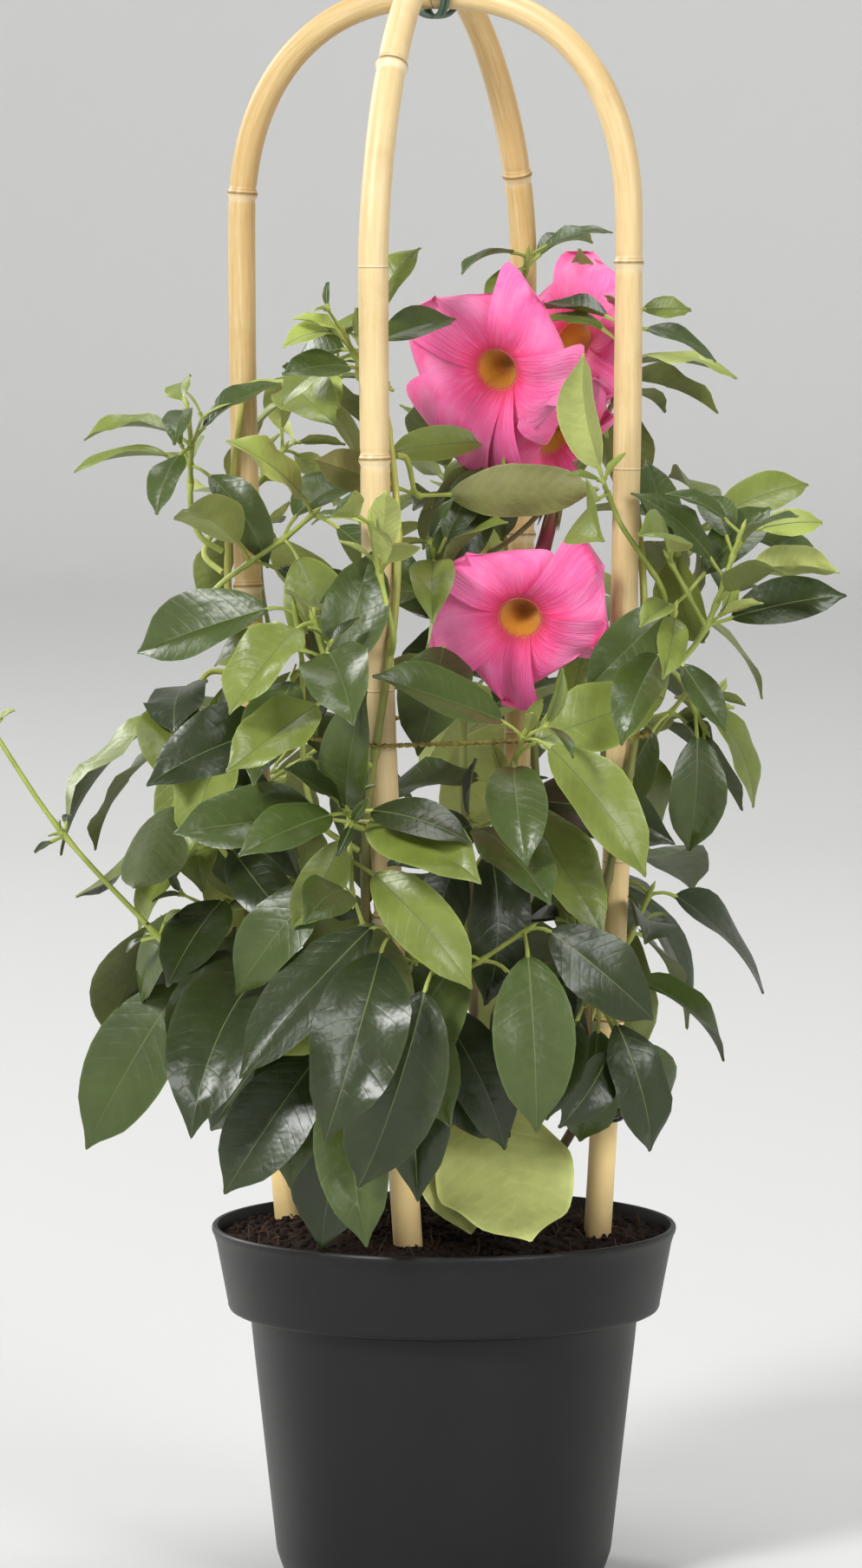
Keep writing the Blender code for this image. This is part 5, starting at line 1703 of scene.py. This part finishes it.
def grow_twig(rng, name, mass, point, tangent, side, scale, wood, joints):
    """A side twig with one leaf pair part way and one at its end."""
    leaves = []
    for attempt in range(TRIES):
        heading = tangent * 0.6 + side * 0.8 + stray(rng, 0.1 + 0.1 * attempt)
        heading = (heading - UP * mass.droop * 0.25).normalized()
        length = mass.leaf * 0.55 * rng.uniform(0.8, 1.1)
        end = point + (heading + UP * 0.15).normalized() * length
        path = curve_between(point, heading, end, heading, TWIG_RINGS)
        tested = [point + heading * 4, *path[1:]]
        test = tube(tested, [TWIG_RADIUS + LEAF_CLEARANCE] * TWIG_RINGS, WOOD_SIDES)
        if is_clear(test, exempt=f"{name}_wood"):
            break
    else:
        return leaves
    wood.append((path, TWIG_RADIUS, TWIG_RADIUS))
    place(f"{name}_wood", tube(path, [TWIG_RADIUS] * TWIG_RINGS, WOOD_SIDES))
    turn = rng.uniform(0, math.pi)
    for share, turned_by, smaller in TWIG_PAIRS:
        at, way = along(path, share)
        aside = square_to(way, turn + turned_by)
        joints.append((at, way, aside))
        for facing in (aside, -aside):
            try_leaf(rng, name, mass, at, way, facing, scale * smaller, leaves)
    return leaves


def rounded(path, count):
    """The path again with more points, on a smooth curve through its own."""
    ends = [path[0] * 2 - path[1], *path, path[-1] * 2 - path[-2]]
    points = []
    for i in range(count):
        t = (len(path) - 1) * i / (count - 1)
        k = min(int(t), len(path) - 2)
        t -= k
        a, b, c, d = ends[k : k + 4]
        curved = b * 2 + (c - a) * t + (a * 2 - b * 5 + c * 4 - d) * t * t + (b * 3 - a - c * 3 + d) * t**3
        points.append(curved / 2)
    return points


class Bend(NamedTuple):
    """How a blade leaves its plain arc: its waves, their size, its bulge, sweep, curl and twist."""

    waves: float
    ripple: float
    phases: tuple
    bulge: float
    sickle: float
    curl: float
    twist: float


def random_bend(rng):
    phases = (rng.uniform(0, TURN), rng.uniform(0, TURN))
    waves, ripple, bulge = rng.uniform(1.0, 2.4), rng.uniform(0.05, 0.2), rng.uniform(-0.02, 0.18)
    sickle, curl, twist = rng.uniform(-0.08, 0.08), rng.uniform(-0.04, 0.13), rng.uniform(-0.35, 0.35)
    return Bend(waves, ripple, phases, bulge, sickle, curl, twist)


def blade_mesh(leaf, bend, freedom, top, under, rib):
    """A blade with a raised midrib, halves that bulge, a waved margin, and a keel below."""
    thick = leaf.length * LEAF_THICKNESS_SHARE / 2
    rows = BLADE_ROWS if leaf.length > SMALL_LEAF else BLADE_ROWS[::2]
    if leaf.width > BROAD_LEAF * leaf.length:
        rows = BROAD_ROWS
    points, places = [], []
    for share in rows:
        centre, side, normal = blade_point(leaf, share)
        centre += (side * bend.sickle * share**2 - normal * bend.curl * share**3) * leaf.length * freedom
        lean = bend.twist * share * freedom
        c, s = math.cos(lean), math.sin(lean)
        side, normal = side * c + normal * s, normal * c - side * s
        half = max(leaf.width / 2 * half_width(share, FINE_BLADE), 0.8)
        rib_half = min(0.4, (0.08 + 0.22 * (1 - share)) / half)
        fold = leaf.fold * (1 + 0.3 * freedom)
        section = [(u, 0.0) for u in (1, HALF_WAY, rib_half, 0, -rib_half, -HALF_WAY, -1)]
        section += [(-HALF_WAY, thick + KEEL), (0, 2 * thick + RIB_KEEL), (HALF_WAY, thick + KEEL)]
        for u, drop in section:
            lift = abs(u) * half * math.sin(fold) + thick * (1 - abs(u) ** 3) - drop
            if abs(u) > 0.5:
                lift += bend.bulge * freedom * half * math.sin(math.pi * min(1.0, abs(u) * 1.15))
            lift += 0.12 if u == 0 else 0.0
            wave = math.sin(TURN * bend.waves * share + bend.phases[u > 0])
            ripple = wave * bend.ripple * freedom * half * u * u
            points.append(centre + side * u * half * math.cos(fold) + normal * (lift + ripple))
            places.append((0.5 + 0.5 * u, share))
    tip, side, normal = blade_point(leaf, 1.0)
    points.append(tip + (side * bend.sickle - normal * bend.curl) * leaf.length * freedom)
    places.append((0.5, 1.0))
    faces, finishes = [], []
    tones = [top, top, rib, rib, top, top, under, under, under, under]
    around = len(tones)
    for row in range(len(rows) - 1):
        for j in range(around):
            k = (j + 1) % around
            a, d = row * around + j, row * around + k
            b, c = a + around, d + around
            # Above and below, the halves of a quad meet on the same line, so that neither side shows through.
            inwards = abs(section[j][0]) > abs(section[k][0])
            faces += ((a, b, c), (a, c, d)) if inwards else ((a, b, d), (b, c, d))
            finishes += [tones[j]] * 2
    last = (len(rows) - 1) * around
    for j in range(around):
        faces.append((last + j, len(points) - 1, last + (j + 1) % around))
        finishes.append(tones[j])
    faces.append(tuple(range(around)))
    finishes.append(rib)
    return (points, faces), finishes, places


def leaf_stalk(leaf):
    """The stalk, from inside the twig to the blade."""
    start = leaf.root - leaf.heading * 0.4
    end = blade_base(leaf) + leaf.forward * 0.8
    path = curve_between(start, leaf.heading, end, leaf.forward, 5)
    return tube(path, STALK_RADII, FINE_SIDES)


def veined(name, colour, roughness, depth, contrast):
    """A leaf's finish: mottled, with faint side veins that arch from the midrib to the margin, and a painted
    rim highlight along the margin.
    """
    made = Finish(name, colour, roughness, Specular_IOR_Level=0.5)
    surface = made.surface()
    across = abs(surface.part("X").line(2.0, -1.0))
    phase = surface.part("Y") * VEIN_PAIRS - across**1.25 * VEIN_SWEEP
    groove = abs(made.calc("SINE", phase * math.pi)) ** 0.3
    mottle = made.speckle(made.place(), 42.0)
    pale = tuple(min(1.0, c * 1.5 + 0.012) for c in colour)
    dark = tuple(c * 0.72 for c in colour)
    toned = made.ramp(mottle, (0.3, dark), (0.62, colour))
    # A pale line along each margin is a painted rim highlight.
    veins, rim_highlight = (1.0 - groove) * contrast, across.share(5.0, -4.55)
    made.paint(made.blend(veins + rim_highlight, toned, pale))
    swell = made.speckle(made.place(), 150.0, detail=2.0) * 7.0
    made.relief(groove + swell, depth, 0.6)
    return made


def leaf_tones(leaf, mass, rng):
    """The numbers of a leaf's two finishes: darker low on the plant, fresher high up and when small."""
    high = max(0.0, min(1.0, (leaf.root.z - 170) / 200))
    small = max(0.0, 1.0 - leaf.length / 30)
    weights = (0.05 + 1.4 * (1 - high) ** 1.5, 0.6, max(0.0, high - 0.2) ** 1.3, 0.12 * high**3 + 2.5 * small)
    top = rng.choices(range(len(TOP_TONES)), weights)[0]
    unders = ("underleaf_pale", "underleaf_green", "underleaf_deep")
    under = rng.choices(unders, (max(0.0, high - 0.3), 0.6, 1.2 * (1 - high)))[0]
    if mass.turned > MOSTLY_TURNED:
        under = "underleaf_pale" if mass.breadth > LEAF_WIDTH_SHARE else "underleaf_bronze"
    # The broad leaf's pale underside is painted lighter still: painted light.
    if mass.breadth > BROAD_LEAF:
        under = "underleaf_pale_painted_light"
    return top, len(TOP_TONES) + list(UNDER_TONES).index(under)


leaf_finishes = [veined(name, *tone, depth=0.11, contrast=0.1) for name, tone in TOP_TONES.items()]
leaf_finishes += [veined(name, *tone, depth=0.16, contrast=0.18) for name, tone in UNDER_TONES.items()]
leaf_finishes.append(Finish("leaf_midrib", RIB_COLOUR, 0.45))
RIB = len(leaf_finishes) - 1

twig_finish = Finish("leafy_shoot", TWIG_GREEN, 0.5)
blotches = twig_finish.speckle(twig_finish.place(), 45.0)
twig_finish.paint(twig_finish.ramp(blotches, (0.35, TWIG_GREEN), (0.65, TWIG_LIME)))

grown = {name: grow_mass(name, mass) for name, mass in MASSES.items()}


def fine_shoot(name, mass, rng, joint, side, leaves, wood):
    """A short shoot from a leaf's axil with a pair of young leaves, if there is room inside the mass."""
    point, tangent, _ = joint
    heading = (tangent * 0.7 + side * 0.6 + UP * 0.25).normalized()
    length = rng.uniform(5, 13) if mass.leaf > 20 else rng.uniform(1.5, 3)
    end = point + heading * length
    size = rng.uniform(0.22, 0.42) * mass.leaf
    across = square_to(heading, rng.uniform(0, math.pi))
    pair = []
    for aside in (across, -across):
        forward = (heading * 0.8 + aside * 0.75 + UP * 0.1).normalized()
        up = heading - aside * 0.3 + UP * 0.4
        face = (up - forward * up.dot(forward)).normalized()
        shape = {"length": size, "width": size * 0.36, "petiole": 1.5, "arch": 0.25, "fold": 0.35}
        pair.append(Leaf(end, forward, forward, face, **shape))
    low, high = (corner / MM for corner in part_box(name))
    for leaf in pair:
        test = leaf_solid(leaf, grow=FINE_CLEARANCE)
        inside = all(low[i] - 1 < p[i] < high[i] + 1 for p in test[0] for i in range(3))
        if not inside or not is_clear(test, exempt=f"{name}_wood"):
            return
    for leaf in pair:
        place(name, leaf_solid(leaf))
        leaves.append(leaf)
    wood.append((curve_between(point, heading, end + heading, heading, 4), *FINE_SHOOT_RADII))


fine_wood = {name: [] for name in MASSES}
draws = {name: random.Random(mass.seed + FINE_SEED) for name, mass in MASSES.items()}
for name, mass in MASSES.items():
    wood, leaves, joints = grown[name]
    for joint in joints:
        for side in (joint[2], -joint[2]):
            if draws[name].random() < FINE_SHOOT_SHARE:
                fine_shoot(name, mass, draws[name], joint, side, leaves, fine_wood[name])


limbs = [entry[1:] for entry in placed if entry[0] not in MASSES and not entry[0].endswith("_wood")]
blade_reaches = [reach_of(leaf_solid(leaf)) for _, leaves, _ in grown.values() for leaf in leaves]
blade_number = 0


def bent_blade(leaf, number, top, under, rng):
    """The blade, bent as freely as it can be without crossing a limb or another blade."""
    bend = random_bend(rng)
    for freedom in (1.0, 0.6, 0.3, 0.0):
        made = blade_mesh(leaf, bend, freedom, top, under, RIB)
        centre, reach, tree = reach_of(made[0])
        others = limbs + blade_reaches[:number] + blade_reaches[number + 1 :]
        near = (other for other in others if (centre - other[0]).length < reach + other[1])
        if not freedom or not any(tree.overlap(other[2]) for other in near):
            blade_reaches[number] = (centre, reach, tree)
            return made


for name, mass in MASSES.items():
    wood, leaves, joints = grown[name]
    rng = draws[name]
    blades, twigs = Shape(), Shape()
    for leaf in leaves:
        top, under = leaf_tones(leaf, mass, rng)
        solid, finishes, places = bent_blade(leaf, blade_number, top, under, rng)
        blade_number += 1
        blades.add(solid, finishes, places)
        twigs.add(leaf_stalk(leaf))
    knots = [point for point, _, _ in joints]
    for path, first, last in wood:
        count = 5 * len(path)
        line = rounded(path, count)
        radii = []
        for i, point in enumerate(line):
            near = min((point - knot).length for knot in knots)
            plain, thicker, width = TWIG_JOINT
            radii.append((first + (last - first) * i / (count - 1)) * (plain + thicker * bump(near, width)))
        twigs.add(tube(line, radii, TWIG_SIDES))
        tip, way = path[-1], (path[-1] - path[-2]).normalized()
        twigs.add(tube([tip, tip + way * 2.2, tip + way * 4.6], TIP_RADII, TIP_SIDES))
    for path, first, last in fine_wood[name]:
        twigs.add(tube(path, [first + (last - first) * i / 3 for i in range(4)], FINE_SIDES))
    blades_piece = blades.make(f"{name}_blades", leaf_finishes, 62.0)
    twigs_piece = twigs.make(f"{name}_twigs", [twig_finish], 60.0)
    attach(blades_piece, "root")
    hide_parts(name)
    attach(twigs_piece, "root")
    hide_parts(name)


# The studio.
# A round pale floor that curves up into its own backdrop, wide enough that the camera stands inside it from
# every side. Big soft lamps stand high on the left, low on the right and above.

FLOOR_RADIUS = 6700.0
BACKDROP_BEND = 1600.0
BACKDROP_TOP = 4200.0
BACKDROP_STEPS = 8
FLOOR_SIDES = 96
FLOOR_PALE = (0.58, 0.58, 0.57)
BACKDROP_PALE = (0.88, 0.88, 0.87)
# How far off, in metres, the floor's colour starts to turn into the backdrop's, and where it ends.
FLOOR_FADE = (3, 7)
WORLD_STRENGTH = 0.28
LAMP_AIM = Vector((0, 0, 0.3))
# Each lamp: its name, its place and its size in metres, its power in watts and its spread in degrees.
LAMPS = (
    ("key", (-2.9, -3.9, 3.4), 1.3, 285.0, 180),
    ("fill", (3.4, -4.8, 2.4), 2.4, 70.0, 120),
    ("top", (0.4, 1.2, 4.6), 2.6, 100.0, 180),
    ("rim", (-3.6, 2.8, 2.4), 2.0, 115.0, 180),
)

floor_profile = [(20.0, 0.0), (900.0, 0.0), (FLOOR_RADIUS, 0.0)]
for step in range(1, BACKDROP_STEPS + 1):
    angle = step * math.pi / 2 / BACKDROP_STEPS
    bent = (BACKDROP_BEND * math.sin(angle), BACKDROP_BEND * (1 - math.cos(angle)))
    floor_profile.append((FLOOR_RADIUS + bent[0], bent[1]))
floor_profile.append((FLOOR_RADIUS + BACKDROP_BEND, BACKDROP_TOP))
floor_points, floor_faces = skin([circle(*step, FLOOR_SIDES) for step in floor_profile])
floor_faces = [*(tuple(reversed(face)) for face in floor_faces), tuple(range(FLOOR_SIDES))]
floor_finish = Finish("floor", FLOOR_PALE, 0.7)
away = floor_finish.read("Value", "VectorMath", {0: floor_finish.place()}, operation="LENGTH")
floor_finish.paint(floor_finish.blend(away.fade(*FLOOR_FADE), FLOOR_PALE, BACKDROP_PALE))
floor = Shape((floor_points, floor_faces)).make("floor", [floor_finish], 60.0)

for label, where, size, power, spread in LAMPS:
    lamp_data = bpy.data.lights.new(label, "AREA")
    lamp_data.shape = "DISK"
    lamp_data.size = size
    lamp_data.energy = power
    lamp_data.spread = math.radians(spread)
    lamp = add_object(label, lamp_data)
    lamp.location = where
    lamp.rotation_euler = (LAMP_AIM - Vector(where)).to_track_quat("-Z", "Y").to_euler()
    lamp.visible_camera = False

world = bpy.data.worlds.new("studio")
bpy.context.scene.world = world
world.use_nodes = True
background = world.node_tree.nodes["Background"].inputs
background["Color"].default_value = (*WHITE, 1)
background["Strength"].default_value = WORLD_STRENGTH
bpy.context.scene.view_settings.view_transform = "Standard"
